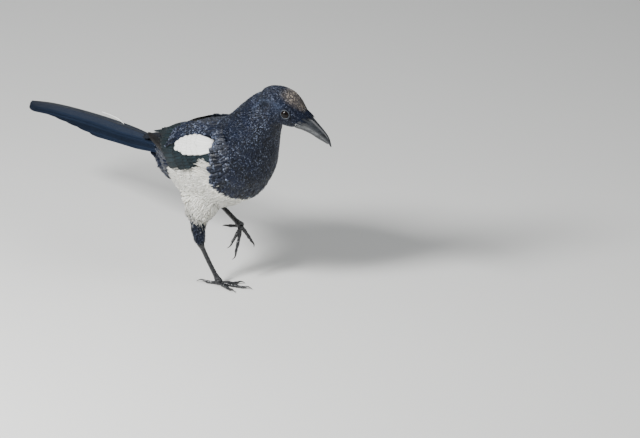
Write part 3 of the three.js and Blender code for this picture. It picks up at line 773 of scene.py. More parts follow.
def coat_of_head():
    def spot(t, a, grow=-HEAD_COAT):
        return head_to_body(skull.point(t, a, grow))

    def lie(t, a):
        return spot(np.maximum(t - 0.04, 0), a, 0) - spot(np.minimum(t + 0.02, 1), a, 0)

    roots, ways = brick_roots(spot, lie, HEAD_LENGTH, skull.girth, 1.1, 1.0, 0.03, 0.98)
    roots, ways = on_skin(roots, ways, 1.8)
    ahead = body_to_head(roots)[:, 0]
    nape = (1 - fade(-21, -7, ahead))[:, None]
    ways = unit(mix(ways, np.array(DOWN_NAPE), nape))
    face = fade(-18, 14, ahead)
    length = mix(6.5, 3.2, face)
    keep = clear_of_face(roots, ways, length)
    roots, ways, length, face = roots[keep], ways[keep], length[keep], face[keep]
    head = coat_piece("head_feathers", roots, ways, length, mix(1.15, 0.8, face), mix(0.6, 0.45, face), fine=False,
                      sink=0.25)
    roots, ways = eye_ring_roots()
    ring = coat_piece("eye_ring_feathers", roots, ways, 2.4, 0.6, 0.4, fine=False, sink=0.1)
    return [head, ring]


coat += coat_of_head()

# %% [markdown]
# ## Fluff and shins
# White fluff hangs from the belly round the top of each leg, in soft pointed locks of uneven length. Below it the
# shin is covered with short black feathers down to the ankle.

# %% Leg feathers
SHIN_LENGTH = {"right": 62, "left": 55}


def leg_roots(side, radius, start, end, row_gap, root_gap, reach=1.8):
    """Roots round a leg, whose skin is radius(t) away from the leg's path."""

    def path(t):
        return shin_path(LEGS[side], t)

    def spot(t, a):
        d = unit(path(np.minimum(t + 0.01, 1)) - path(np.maximum(t - 0.01, 0)))
        across = unit(np.cross(d, [1, 0, 0]))
        front = np.cross(across, d)
        turn = np.radians(a)[:, None]
        out = front * np.cos(turn) + across * np.sin(turn)
        return path(t) + out * np.broadcast_to(radius(t), len(t))[:, None]

    def lie(t, a):
        return spot(np.minimum(t + 0.02, 1), a) - spot(t, a)

    def girth(t):
        return 2 * math.pi * float(np.asarray(radius(np.array([t])))[0])

    return on_skin(*brick_roots(spot, lie, SHIN_LENGTH[side], girth, row_gap, root_gap, start, end), reach)


def coat_of_leg(side):
    """Dense fluff, locks that hang over its hem, a few long wisps, and the black feathers of the shin."""
    hem = HEM[side]
    fluff = partial(fluff_skin, side=side)
    made = [
        coat_piece(f"fluff_{side}", *leg_roots(side, fluff, 0.05, hem, 1.6, 1.4),
                   14, 1.3, 0.9, "pointed", white=1.0, spread=0.16, uneven=0.05, hollow=0.08),
        coat_piece(f"hanging_fluff_{side}", *leg_roots(side, fluff, hem - 0.12, hem, 1.4, 1.1),
                   13, 0.7, 2.6, "pointed", white=1.0, spread=0.35, fine=False),
        coat_piece(f"fluff_wisps_{side}", *leg_roots(side, fluff, hem - 0.08, hem, 2.2, 2.4),
                   21, 0.6, 1.6, "pointed", white=1.0, spread=0.3, fine=False),
    ]
    roots, ways = leg_roots(side, shin_skin, hem - 0.1, 0.95, 1.3, 1.1, reach=1.5)
    lift = mix(2.0, 0.6, fade(48, 42, roots[:, 2])) if side == "right" else 0.9
    made.append(coat_piece(f"shin_feathers_{side}", roots, ways, 6, 1.0, lift, "pointed", white=0.0, fine=False))
    return made


for side in LEGS:
    coat += coat_of_leg(side)

# %% [markdown]
# ## Bare places
# Where two forms meet, such as the jaw and the throat, the rows leave some skin bare. Each such place gets a small
# feather that lies like its nearest neighbour.

# %% Feathers for bare places
BARE_GAP = 1.7  # a place this far from the nearest root is bare


def fill_bare_places():
    """Feathers like their neighbours wherever the skin is still bare."""
    known = np.vstack(planted)
    tree = KDTree(len(known))
    for index, row in enumerate(known):
        tree.insert(row[:3], index)
    tree.balance()
    local = body_to_head(skin_points)
    open_skin = ~under_wing(skin_points) & ~in_bill(local, 1.0) & ~(near_eye(local, 6.5) & (local[:, 0] > -12))
    open_skin &= skin_points[:, 2] > 50
    grown, taken = [], set()
    for index in rng.permutation(np.flatnonzero(open_skin)):
        spot = skin_points[index]
        _, nearest, distance = tree.find(spot)
        cell = tuple(np.round(spot / BARE_GAP).astype(int))
        if BARE_GAP < distance < 14 and cell not in taken:
            taken.add(cell)
            grown.append(np.concatenate([spot, known[nearest][3:]]))
    grown = np.array(grown)
    made = []
    for name, part in (("white_gap", grown[:, 9] > 0.5), ("black_gap", grown[:, 9] <= 0.5)):
        g = grown[part]
        made.append(coat_piece(f"{name}_feathers", g[:, :3], unit(g[:, 3:6]), g[:, 6], g[:, 7], g[:, 8],
                               white=g[:, 9].round(), fine=False, sink=0.3))
    return made


coat += fill_bare_places()

# %% [markdown]
# ## Quills: the vanes of wing and tail
# A flight feather has a shaft, a narrow leading vane and a broad trailing one, with barbs that leave the shaft at
# an angle. Each is a closed blade whose top and underside share their edge, with a ridge for the shaft. Where it
# lies comes from a place function, which turns a place on the folded wing or tail into a point.

# %% A quill
QUILL_C = np.array([-1.0, -0.62, -0.1, 0.0, 0.1, 0.62, 1.0])  # across a vane, with the shaft in the middle
QUILL_DEPTH = 0.35


def quill_width(s, blunt):
    start = mix(0.42, 1.0, fade(0.0, 0.35, s))
    end = np.sqrt(np.clip(1 - ((s - 1 + blunt) / blunt) ** 2, 0.004, 1))
    return start * np.where(s > 1 - blunt, end, 1)


def quill(place, root, tip, half, heights, tilt=0.0, bow=0.0, narrow=0.0, camber=0.5, sink=0.8, rows=14, blunt=0.2):
    """Points and quads of one feather, with its shape values for each point."""
    s = 1 - (1 - np.linspace(0, 1, rows)) ** 1.35
    c = QUILL_C
    way = unit(np.array([tip[0] - root[0], tip[1] - root[1]], float))
    p = mix(root[0], tip[0], s)[:, None]
    q = (mix(root[1], tip[1], s) + bow * np.sin(np.pi * s))[:, None]
    w = c[None] * (half * quill_width(s, blunt) * (1 - narrow * s))[:, None]
    base = (mix(heights[0], heights[1], s) - sink * (1 - fade(0, 0.25, s)))[:, None]
    shaft = 0.28 * (1 - 0.7 * s)[:, None] * (np.abs(c) < 0.05)
    h = base + (1 - c)[None] / 2 * tilt + camber * (1 - c**2)[None] + shaft
    top = place(p - w * way[1], q + w * way[0], h)
    under = place(p - w * way[1], q + w * way[0], h - QUILL_DEPTH - shaft)[1:-1, 1:-1]
    quads, _ = blade_faces(rows, len(c))
    length = math.hypot(tip[0] - root[0], tip[1] - root[1])
    along = np.broadcast_to(s[:, None], w.shape)
    across = np.broadcast_to(c[None], w.shape)
    barb = along * length - np.abs(w) * 1.1
    values = [np.concatenate([v.ravel(), v[1:-1, 1:-1].ravel()]) for v in (along, across, barb)]
    return np.concatenate([top.reshape(-1, 3), under.reshape(-1, 3)]), quads, values


def quill_piece(name, quills, pale=False):
    """One mesh of several quills."""
    points, faces, tints, patches, base = [], [], [], [], 0
    for p, f, (along, across, _) in quills:
        points.append(p)
        faces.append(f + base)
        base += len(p)
        tints.append(np.full(len(p), rng.uniform(0, 1)))
        patches.append(unwrap(p[:1])[0] + np.stack([along - 0.5, across * 0.5], -1) * PATCH)
    made = make_mesh(name, np.vstack(points), np.vstack(faces))
    for index, key in enumerate(("along", "across", "barb")):
        set_attribute(made, key, np.concatenate([values[index] for _, _, values in quills]))
    set_attribute(made, "tint", np.concatenate(tints))
    set_attribute(made, "white", np.full(base, float(pale)))
    set_attribute(made, "bronze", np.zeros(base))
    # Where the quills lie in the painted bluish highlight at the shoulder.
    set_attribute(made, "blue", painted_highlight_place(np.vstack(points))[1])
    add_unwrap(made, np.vstack(patches)[corners_of(made)])
    print(name, len(quills), "quills")
    return made


def varied_quill(place, root, tip, **shape):
    """A quill whose root and tip are a little out of place."""
    root = (root[0] + rng.uniform(-0.6, 0.6), root[1] + rng.uniform(-0.3, 0.3))
    tip = (tip[0] + rng.uniform(-1.2, 1.2), tip[1] + rng.uniform(-0.5, 0.5))
    return quill(place, root, tip, **shape)


def tract(place, count, root, root_step, tip, tip_step, heights, drop=0.0, **shape):
    """A row of like quills. Each step leads from the first root, or tip, to the last one."""
    return [
        varied_quill(place, np.add(root, np.multiply(root_step, k)), np.add(tip, np.multiply(tip_step, k)),
                     heights=(heights[0], heights[1] - drop * k), **shape)
        for k in np.linspace(0, 1, count)
    ]


print("quill helpers ready")

# %% [markdown]
# ## The folded wings
# From the shoulder back lie the small coverts, the greater coverts, the secondaries, the tertials on top of them
# and the long primaries below, whose tips reach the root of the tail. Each feather covers the one below it. The
# white shoulder feathers lie over the front of the wing.

# %% Tracts of the wing
def on_wing(side):
    """A place (p along, q down from the middle of the back, h out) on the right (-1) or left (1) folded wing."""

    def place(p, q, h):
        p, q, h = np.broadcast_arrays(p, q, h)
        t = folded.at(p)
        angle = 90 - np.degrees(q / folded.radius(t))
        spot = folded.point(t, angle)
        spot = spot + (folded.point(t, angle, 1.0) - spot) * h[..., None]
        return spot * [1, -side, 1]

    return place


def wing_quills(place):
    lesser_coverts = []
    for row in range(4):
        lesser_coverts += tract(place, 8, (22 - 6 * row, 54 + row), (-3, -11 - 3 * row), (9 - 6 * row, 57 + row),
                                (-4, -12 - 3.4 * row), half=2.6, heights=(0.2, 2.2), tilt=0.7, rows=9)
    median_coverts = tract(place, 9, (3, 59), (-6, -19), (-16, 61), (-7, -22),
                           half=3.2, heights=(0.2, 2.2), tilt=0.8, rows=10)
    greater_coverts = tract(place, 9, (-2, 59), (-7, -20), (-27, 61), (-11, -23),
                            half=3.6, heights=(0.0, 1.7), tilt=0.9)
    secondaries = tract(place, 9, (-8, 59), (-12, -26), (-46, 54), (-28, -40),
                        half=5.0, heights=(-0.4, 1.0), tilt=1.3, rows=18)
    tertials = tract(place, 4, (-18, 36), (-6, -16), (-68, 22), (-16, -13),
                     half=6.0, heights=(0.1, 1.4), drop=0.8, tilt=1.3, narrow=0.5, rows=18)
    long_tips = tract(place, 2, (-25, 25), (-15, -11), (-82, 20), (-17, -12),
                      half=5.0, heights=(0.6, -1.2), tilt=0.6, narrow=0.6, rows=18)
    return lesser_coverts + median_coverts + greater_coverts + secondaries + tertials + long_tips


def primary_quills(place):
    return tract(place, 8, (-26, 52), (-4, -13), (-74, 27), (-31, -17),
                 half=3.6, heights=(-0.9, 0.0), tilt=1.0, bow=3.0, narrow=0.35, rows=18)


print("wing surface", round(float(folded.xs[-1] - folded.xs[0])), "mm along")

# %% [markdown]
# ## The shoulder
# White feathers lie over the front of the wing, and black ones like scales frame them above and lead over to the
# mantle.

# %% Feathers of the shoulder
SHOULDER_ROWS = [(-27, 3, 3, 3), (-21, 8, 7, 5), (-15, 12, 9, 6), (-8, 14, 10, 7), (-1, 15, 9, 7), (6, 14, 7, 6)]
WING_END = 30  # the wing's surface ends here, so no root lies further forward


def shoulder_quills(place):
    """White shoulder feathers, in rows of (tips' place, spread of tips, spread of roots, count)."""
    made = []
    for tips, tip_spread, root_spread, count in SHOULDER_ROWS:
        made += tract(place, count, (tips + 17, 43.5 + root_spread / 2), (0, -root_spread),
                      (tips, 42.5 + tip_spread / 2), (-1.5, -tip_spread),
                      half=2.9, heights=(2.4, 3.7), tilt=0.25, sink=3.0, rows=10)
    return made


def dark_shoulder_quills(place):
    """Black scale-like feathers that frame the white ones above and run from the mantle over the wing."""
    made = []
    for row in range(17):
        tips = -45 + 4.2 * row
        low = mix(38, 33, fade(-30, -18, tips))
        merge = fade(8, 24, tips) - 0.8 * (1 - fade(-36, -22, tips))
        for k in (np.arange(11) + 0.5 * (row % 2)) / 11:
            slip = rng.uniform(-1.6, 1.6)
            root_height, tip_height = mix(0.6, -1.8, k) - 2.0 * merge, mix(2.4, -0.4, k) - 1.6 * merge
            made.append(varied_quill(
                place,
                root=(min(tips + 11 + slip, WING_END - 0.4), low - (low - 14) * k),
                tip=(tips - 2 * k + slip, low + 0.6 - (low - 13.5) * k),
                half=rng.uniform(1.9, 2.6),
                heights=(root_height, tip_height + rng.uniform(-0.3, 0.3)),
                tilt=rng.uniform(-0.8, 0.8),
                sink=2.0,
                rows=8,
            ))
    return made


print("rows of white shoulder feathers", len(SHOULDER_ROWS))

# %% [markdown]
# ## Breast side and flank
# Below the shoulder the black feathers of the breast's side lie over the wing's front edge, and white plumes of the
# flank curl up over its lower edge. The edges on which the two end are lines of (p, q) on the wing.

# %% Feathers over the wing's edges
BREAST_EDGE = [(26, 29), (22.5, 33), (24, 39.5), (21.5, 45), (18, 49), (15, 56), (11, 65), (6.5, 74), (5, 80)]
PLUME_EDGE = [(11, 56.5), (7.5, 56), (3.5, 57.5), (-3, 62), (-9, 66)]


def side_breast_quills(place):
    """Black feathers of the breast's side that lie over the front of the folded wing."""
    made = []
    for layer in range(7):
        for k in (np.arange(33) + 0.5 * (layer % 2)) / 33:
            tip = smooth(BREAST_EDGE, k) + [1.9 * layer, 0] + rng.uniform(-0.8, 0.8, 2)
            rise = mix(0.8, 3.0, fade(28, 42, tip[1])) - 0.75 * layer
            if tip[0] > WING_END - 3.5:
                continue
            made.append(varied_quill(
                place,
                root=(min(tip[0] + rng.uniform(5.5, 7.5), WING_END - 0.2), tip[1] + 1.5 * k),
                tip=tip,
                half=rng.uniform(1.5, 2.1),
                heights=(rise - 3.2, rise),
                tilt=rng.uniform(-0.6, 0.6),
                camber=0.2,
                rows=8,
            ))
    return made


def flank_quills(place):
    """Loose white plumes of the flank that curl up over the edge of the wing, behind the edge of the bib."""
    made = []
    bib_q, bib_p = np.array(BREAST_EDGE).T[::-1]
    for layer in range(5):
        for k in np.linspace(0, 1, 28):
            tip = smooth(PLUME_EDGE, k) + [2.2 * layer, 2.6 * layer] + rng.uniform(-1.2, 1.2, 2)
            if tip[0] > np.interp(tip[1], bib_q, bib_p) - 1.5:
                continue
            made.append(varied_quill(
                place,
                root=(min(tip[0] + 9, float(np.interp(tip[1] + 8, bib_q, bib_p)) + 1), tip[1] + 8),
                tip=tip,
                half=rng.uniform(0.8, 1.3),
                heights=(-1.5, 3.9 - 0.5 * layer),
                narrow=0.75,
                bow=rng.uniform(-2.0, 0.5),
                camber=0.2,
                rows=9,
            ))
    return made


print("edge points", len(BREAST_EDGE), len(PLUME_EDGE))

# %% [markdown]
# ## Both wings
# The left wing is the mirror image of the right one, apart from the chance in each feather's place.

# %% The wings' pieces
wing_pieces, shoulder_pieces = {}, {}
for side, sign in (("right", -1), ("left", 1)):
    place = on_wing(sign)
    wing_pieces[side] = [
        quill_piece(f"wing_coverts_{side}", wing_quills(place)),
        quill_piece(f"primaries_{side}", primary_quills(place)),
    ]
    shoulder_pieces[side] = [
        quill_piece(f"shoulder_feathers_{side}", shoulder_quills(place)),
        quill_piece(f"dark_shoulder_feathers_{side}", dark_shoulder_quills(place)),
        quill_piece(f"flank_plumes_{side}", flank_quills(place), pale=True),
        quill_piece(f"side_breast_feathers_{side}", side_breast_quills(place)),
    ]

# %% [markdown]
# ## The tail
# Twelve feathers, each pair shorter than the one above it. Closed, the central pair covers the others, and only
# their edges show along the sides. The whole tail has a low roof shape.

# %% The tail
RIDGE = [(-97.3, 0, 114), (-130, 0, 114.5), (-187, 0, 113), (-243, 0, 108.6), (-288, 0, 102.8)]
ridge_fine = smooth(RIDGE, np.linspace(0, 1, 300))
ridge_run = np.concatenate([[0], np.cumsum(np.linalg.norm(np.diff(ridge_fine, axis=0), axis=1))])
RIDGE_LENGTH = ridge_run[-1]
TAIL = {"feathers": 6, "step": 19.5, "spread": 1.6, "web": 10.3, "roof_right": 22, "roof_left": 11}
TAIL_ROOT = -97  # where the trunk ends and the tail starts, along x
COVERT_START = -82.0  # where the tail coverts leave the trunk
COVERT_REACH = {True: 26.0, False: 14.0}  # how far they reach over the tail, above and below it


def on_tail(p, q, h):
    """p is the distance behind the root, q is to the left of the ridge and h is over the roof of the tail."""
    p, q, h = np.broadcast_arrays(p, q, h)
    spot = np.stack([np.interp(p, ridge_run, ridge_fine[:, k]) for k in range(3)], -1)
    fall = np.tan(np.radians(np.where(q < 0, TAIL["roof_right"], TAIL["roof_left"])))
    return spot + np.stack([np.maximum(0, -p), q, h - np.abs(q) * fall], -1)


def tail_quills():
    made = []
    for k in range(TAIL["feathers"]):
        for side in (-1, 1):
            shaft = side * (1.2 if k == 0 else 2 + TAIL["spread"] * k)
            layer = (1 - side) / 2 if k == 0 else k + 1
            height = -layer * 0.85 - 0.2
            made.append(quill(
                on_tail,
                root=(-8, shaft * 0.35),
                tip=(RIDGE_LENGTH - (1 - side if k == 0 else TAIL["step"] * k), shaft),
                half=TAIL["web"] if k == 0 else TAIL["web"] - 1.5 - 0.4 * k,
                heights=(height, height),
                camber=0.25,
                sink=0,
                rows=34,
                blunt=0.1 if k == 0 else 0.22,
            ))
    return made


tail_piece = quill_piece("tail_feathers", tail_quills())

# %% [markdown]
# ## Tail coverts and the stray feather
# Short feathers above and below hide the join of trunk and tail. In the photo one bent, pale feather stands out
# from the far edge of the tail, and it is kept.

# %% Tail coverts and the stray feather
def covert_place(above):
    """A place on a blade that runs from the trunk's own surface to the roof, or the underside, of the tail."""
    start = float(trunk.at(COVERT_START))
    reach = COVERT_REACH[above]
    length = COVERT_START - TAIL_ROOT + reach
    wide = float(smooth(trunk.stations, start)[3])

    def place(p, q, h):
        p, q, h = np.broadcast_arrays(p, q, h)
        turn = np.degrees(q / wide)
        angle = 90 + turn if above else 270 - turn
        t = np.full(p.shape, start)
        rooted = trunk.point(t, angle)
        rooted = rooted + (trunk.point(t, angle, 1) - rooted) * h[..., None]
        end = on_tail(np.full(p.shape, reach), q, 0.9 + h if above else -6.4 - h)
        return mix(rooted, end, (p / length)[..., None])

    return place, length


def tail_covert_quills(above):
    place, length = covert_place(above)
    made = []
    for row in range(4):
        for k in np.linspace(0, 1, 7 - row):
            reach = 1 - 0.17 * (3 - row) - 0.25 * abs(k - 0.5)
            made.append(varied_quill(
                place,
                root=(2 * (3 - row), (k - 0.5) * (10 + row)),
                tip=(length * reach, (k - 0.5) * (14 - row)),
                half=3.2,
                heights=(-0.4 + 0.1 * row, 0.1 + 0.25 * (3 - row)),
                rows=10,
                camber=0.3,
            ))
    return made


def stray_quill():
    """One bent, pale feather that stands out from the far edge of the tail, as in the photo."""
    return quill(on_tail, (64, 7), (98, 8), 1.1, (0.6, 4.6), bow=4.0, camber=0.1, sink=0.2, tilt=-0.5)


stray_piece = quill_piece("stray_tail_feather", [stray_quill()], pale=True)
tail_coverts = [
    quill_piece("upper_tail_coverts", tail_covert_quills(True)),
    quill_piece("under_tail_coverts", tail_covert_quills(False)),
]

# %% [markdown]
# ## The bill
# Two halves of solid horn with a curved ridge and sharp cutting edges that meet along the gape. It is a loft of
# half rings, flat on the gape, with enough sides to look turned and polished.

# %% Bill
BILL_ROOT = (9, 7.0, -3.4, -6.6, 5.6)  # a station inside the head
GAPE_GAP = 0.12  # each half stops this far from the gape


def bill_half(upper):
    sign = 1 if upper else -1
    sides, rows = 22, 40
    stations = smooth([BILL_ROOT, *(BILL if upper else BILL[:-1])], np.linspace(0, 1, rows))
    a = np.pi * np.arange(sides) / (sides - 1)
    rings = []
    for x, top, gape, low, half in stations:
        edge = gape + sign * GAPE_GAP
        reach = (top - edge) if upper else (edge - low)
        side = np.sign(np.cos(a)) * np.abs(np.cos(a)) ** 0.9 * half
        rise = np.sin(a) ** 0.95 * reach
        rings.append(np.stack([np.full(sides, x), side, edge + sign * rise], -1))
    points, faces = ring_solid(head_to_body(np.array(rings)))
    name = "bill_ridge_half" if upper else "bill_lower_half"
    made = make_mesh(name, points, faces)
    # How near each point is to the gape, where the horn gets a painted highlight.
    set_attribute(made, "edge", np.concatenate([np.tile(1 - np.sin(a), rows), [0, 0]]))
    return made


bill_pieces = {"bill_upper": bill_half(True), "bill_lower": bill_half(False)}
print("bill length in mm", BILL[-1, 0] - BILL[1, 0])

# %% [markdown]
# ## Bristles
# Stiff bristles lie forwards along the bill over the nostrils, and hide the edge between feathers and horn.

# %% Bristles over the nostrils
def bristle(side, fan, start, tip_x):
    """The line of one bristle, which lies forwards along the bill. fan runs from its ridge down to its edge."""
    angle = math.radians(mix(84, 8, fan))
    out = np.array([0, side * math.cos(angle), math.sin(angle)])
    line = []
    for x in np.linspace(start, tip_x, 7):
        top, gape, _, half = bill_at(max(x, BILL[0, 0]))
        line.append(out * [0, half, top - gape] + [x, 0, gape])
    bulge = 0.5 + 0.35 * np.sin(np.linspace(0.2, 2.9, 7)) + rng.uniform(0, 0.5)
    return head_to_body(np.array(line) + out * bulge[:, None])


def bristle_lines():
    made = []
    for side in (-1, 1):
        for i in range(34):
            fan = rng.uniform(0, 1)
            start = rng.uniform(8.5, 16)
            made.append(bristle(side, fan, start, rng.uniform(17.5, 26 if i % 5 == 0 else 22) - 2.5 * fan))
    return made


def strands(name, lines, radius):
    """One mesh of thin tapered strands along lines of seven points."""
    taper = radius * np.array([0.8, 1, 1, 0.9, 0.75, 0.5, 0.12])
    points, faces = join_solids([ring_solid(tube_rings(line, taper, 4, (0.2, 0.3, 1))) for line in lines])
    made = make_mesh(name, points, faces)
    per = len(points) // len(lines)
    for key, value in (("white", 0), ("bronze", 0), ("blue", 0), ("along", 0.5), ("across", 0)):
        set_attribute(made, key, np.full(len(points), float(value)))
    set_attribute(made, "tint", np.repeat(rng.uniform(0, 1, len(lines)), per))
    roots = unwrap(np.array([line[0] for line in lines]))
    add_unwrap(made, np.repeat(roots, per, axis=0)[corners_of(made)])
    print(name, len(lines), "strands")
    return made


bristles = strands("bill_bristles", bristle_lines(), 0.42)

# %% [markdown]
# ## The eyes
# A magpie's eye is very dark brown and wet. The ball is a finely divided sphere with one attribute, the distance
# from the middle of the eye, which draws pupil, iris and rim. A thin ring of bare skin makes the lids.

# %% Eyes and lids
def eyeball(side):
    sides = 40
    a = np.linspace(0, np.pi, 24)[1:-1, None]
    b = np.arange(sides) * 2 * np.pi / sides
    ball = np.stack([np.sin(a) * np.cos(b), np.repeat(np.cos(a), sides, 1) * side, np.sin(a) * np.sin(b)], -1)
    points, faces = ring_solid(ball * EYE["radius"] + [0, side * EYE["side"], EYE["lift"]])
    made = make_mesh("eyeball_right" if side < 0 else "eyeball_left", head_to_body(points), faces)
    set_attribute(made, "from_middle", np.hypot(points[:, 0], points[:, 2] - EYE["lift"]))
    return made


def eyelid(side):
    """A closed ring of skin round the eye, a little lower than wide and slightly wrinkled."""
    rows, sides = 60, 12
    b = (np.arange(sides) * 2 * np.pi / sides)[:, None]
    rings = []
    for turn in np.arange(rows) * 2 * np.pi / rows:
        out = np.array([math.cos(turn), 0, math.sin(turn)])
        middle = out * EYE["lid"] * [1, 1, 0.9] + [0, side * (EYE["side"] + 3.05), EYE["lift"]]
        thick = EYE["thick"] * (0.85 + 0.13 * math.sin(19 * turn) + 0.08 * math.sin(7 * turn))
        rings.append(middle + (out * np.cos(b) + np.array([0, side, 0]) * np.sin(b)) * thick)
    points = head_to_body(np.array(rings)).reshape(-1, 3)
    i, j = np.meshgrid(np.arange(rows), np.arange(sides), indexing="ij")
    i2, j2 = (i + 1) % rows * sides, (j + 1) % sides
    faces = np.stack([i * sides + j, i2 + j, i2 + j2, i * sides + j2], -1).reshape(-1, 4)
    return make_mesh("eyelid_right" if side < 0 else "eyelid_left", points, faces)


eyes = {"eye_right": eyeball(-1), "eye_left": eyeball(1)}
lids = [eyelid(-1), eyelid(1)]
print("eyes of", 2 * EYE["radius"], "mm")

# %% [markdown]
# ## Legs and feet
# The shank of a magpie is clad in front with a row of broad plates, and the toes with rings of scales above and
# soft pads below. Both are tubes whose radius steps at each plate, so that the plates are really raised.

# %% Shanks
SHANK_PLATES = 9


def plate_steps(s, count):
    """0 to 1 up each plate and a sharp drop to the next."""
    x = (s * count) % 1.0
    return np.where(x < 0.85, (x / 0.85) ** 0.6, (1 - x) / 0.15)


def shank(side):
    leg = LEGS[side]
    ankle, ball = np.array(leg["ankle"], float), np.array(leg["ball"], float)
    middle = (ankle + ball) / 2 + [-0.8, 0, 0]
    rows, sides = 120, 20
    s = np.linspace(0, 1, rows)
    path = smooth([ankle, middle, ball], s)
    core = 1.95 + 1.2 * np.exp(-((s / 0.1) ** 2)) + 1.4 * np.exp(-(((1 - s) / 0.12) ** 2))
    a = turns(sides)
    front = np.clip(np.cos(a), 0, 1) ** 0.5
    plates = 0.32 * plate_steps(s, SHANK_PLATES)[:, None] * front[None]
    radii = core[:, None] * (1 + 0.12 * np.cos(a) ** 2)[None] + plates
    points, faces = ring_solid(tube_rings(path, radii, sides))
    points[:, 2] = np.maximum(points[:, 2], 0.02)
    made = make_mesh(f"shank_{side}", points, faces)
    set_attribute(made, "plate", np.concatenate([np.repeat(s * SHANK_PLATES, sides), [0, SHANK_PLATES]]))
    return made


print("plates on each shank", SHANK_PLATES)

# %% [markdown]
# ## Toes, claws and the whole legs
# Three toes point forwards and one back. On the standing foot they lie flat on the floor, and on the lifted one they
# hang, bent back a little. Each ends in a curved claw, the longest on the hind toe. Angles are yaw and pitch.

# %% Toes and claws
TOES = {
    "middle": {"length": 25, "claw": 8.5, "joints": 3, "right": (27, 0), "left": (-68, -74)},
    "inner": {"length": 17, "claw": 7.5, "joints": 2, "right": (58, 0), "left": (-88, -56)},
    "outer": {"length": 19, "claw": 7.5, "joints": 3, "right": (-6, 0), "left": (53, -55)},
    "hallux": {"length": 13, "claw": 10.5, "joints": 1, "right": (205, 0), "left": (-165, -12)},
}
TOE_SINK = 0.15  # how far a standing toe's pads are pressed flat


def toe_line(side, toe, steps):
    leg = LEGS[side]
    ball = np.array(leg["ball"], float)
    way = axes(float(toe[side][1]), float(toe[side][0]))[0]
    s = np.linspace(0, 1, steps)
    radius = mix(1.85, 1.35, s) + 0.16 * np.cos(s * toe["joints"] * 2 * np.pi)
    path = ball + way * (toe["length"] * s)[:, None]
    if side == "right":
        path[:, 2] = mix(radius - TOE_SINK, ball[2], (1 - s) ** 4)
    else:
        path[:, 0] -= 0.1 * toe["length"] * s * s
    return path, radius, s


def toe_piece(side, name):
    toe = TOES[name]
    path, radius, s = toe_line(side, toe, 70)
    sides = 16
    a = turns(sides)
    above = np.clip(np.cos(a), 0, 1) ** 0.5
    below = np.clip(-np.cos(a), 0, 1)
    count = int(toe["length"] / 2.1)
    pads = 0.16 * np.sin(s * toe["joints"] * 2 * np.pi * 1.5)[:, None] * below[None]
    radii = radius[:, None] - 0.12 + 0.24 * plate_steps(s, count)[:, None] * above[None] + pads
    radii[-6:] *= np.linspace(0.96, 0.55, 6)[:, None]
    points, faces = ring_solid(tube_rings(path, radii, sides, (0.1, 0, 1)))
    points[:, 2] = np.maximum(points[:, 2], 0.0)
    made = make_mesh(f"scaly_toe_{side}_{name}", points, faces)
    set_attribute(made, "plate", np.concatenate([np.repeat(s * count, sides), [0, count]]))
    return made


def claw_piece(side, name):
    toe = TOES[name]
    path, _, _ = toe_line(side, toe, 7)
    end = path[-1]
    way = unit(path[-1] - path[-2])
    s = np.linspace(0, 1, 16)
    if side == "right":
        back = np.array([0, 0, -1.0])
        drop = (end[2] - 0.35) * s * s
    else:
        down = np.array([-1, 0, -0.3])
        back = unit(down - way * way.dot(down))
        drop = 0.3 * toe["claw"] * s * s
    arch = 0.14 * toe["claw"] * np.sin(np.pi * s)
    reach = -0.6 + (toe["claw"] + 0.9) * s * (1 - 0.12 * s)
    line = end + way * reach[:, None] + back * (drop - arch)[:, None]
    radii = mix(1.15, 0.16, s**0.9)
    points, faces = ring_solid(tube_rings(line, radii, 12, way * 0.2 + [0, 0, 1]))
    points[:, 2] = np.maximum(points[:, 2], 0.0)
    made = make_mesh(f"horn_claw_{side}_{name}", points, faces)
    set_attribute(made, "along", np.concatenate([np.repeat(s, 12), [0, 1]]))
    return made


shanks, toes, claws = {}, {}, {}
for side in LEGS:
    shanks[side] = shank(side)
    for name in TOES:
        toes[side, name] = toe_piece(side, name)
        claws[side, name] = claw_piece(side, name)
print("shanks", len(shanks), "toes", len(toes), "claws", len(claws))

# %% [markdown]
# ## Materials
# A material is a small graph of nodes. One helper adds a node with its settings and links, and one turns the hex
# colours that a painter would pick into the linear values that the shader needs.

# %% Helpers for materials
def linear(hex_colour):
    """A linear RGBA colour from sRGB hex."""
    channels = [int(hex_colour[i : i + 2], 16) / 255 for i in (1, 3, 5)]
    return (*[c / 12.92 if c <= 0.04045 else ((c + 0.055) / 1.055) ** 2.4 for c in channels], 1.0)


def add_node(tree, kind, *values, inputs=None, output=0, **settings):
    """Adds a node with its settings, fills its inputs in order and then by name, and gives back one output.

    A value is a socket that is linked, a hex colour or a number.
    """
    node = tree.nodes.new("ShaderNode" + kind)
    for name, value in settings.items():
        setattr(node, name, value)
    for name, value in [*enumerate(values), *(inputs or {}).items()]:
        if isinstance(value, bpy.types.NodeSocket):
            tree.links.new(value, node.inputs[name])
        else:
            node.inputs[name].default_value = linear(value) if isinstance(value, str) else value
    return node.outputs[output]


def new_material(name):
    """A material, add_node for its tree, and its Principled shader."""
    material = bpy.data.materials.new(name)
    material.use_nodes = True
    tree = material.node_tree
    return material, partial(add_node, tree), tree.nodes["Principled BSDF"]


def feed(shader, sockets):
    """Links sockets to the shader's inputs of those names."""
    for name, socket in sockets.items():
        shader.id_data.links.new(socket, shader.inputs[name])


def per_mm(size):
    """The scale at which a pattern repeats about every size millimetres."""
    return 1 / (size * MM)


print("white in linear numbers", linear("#ffffff"))
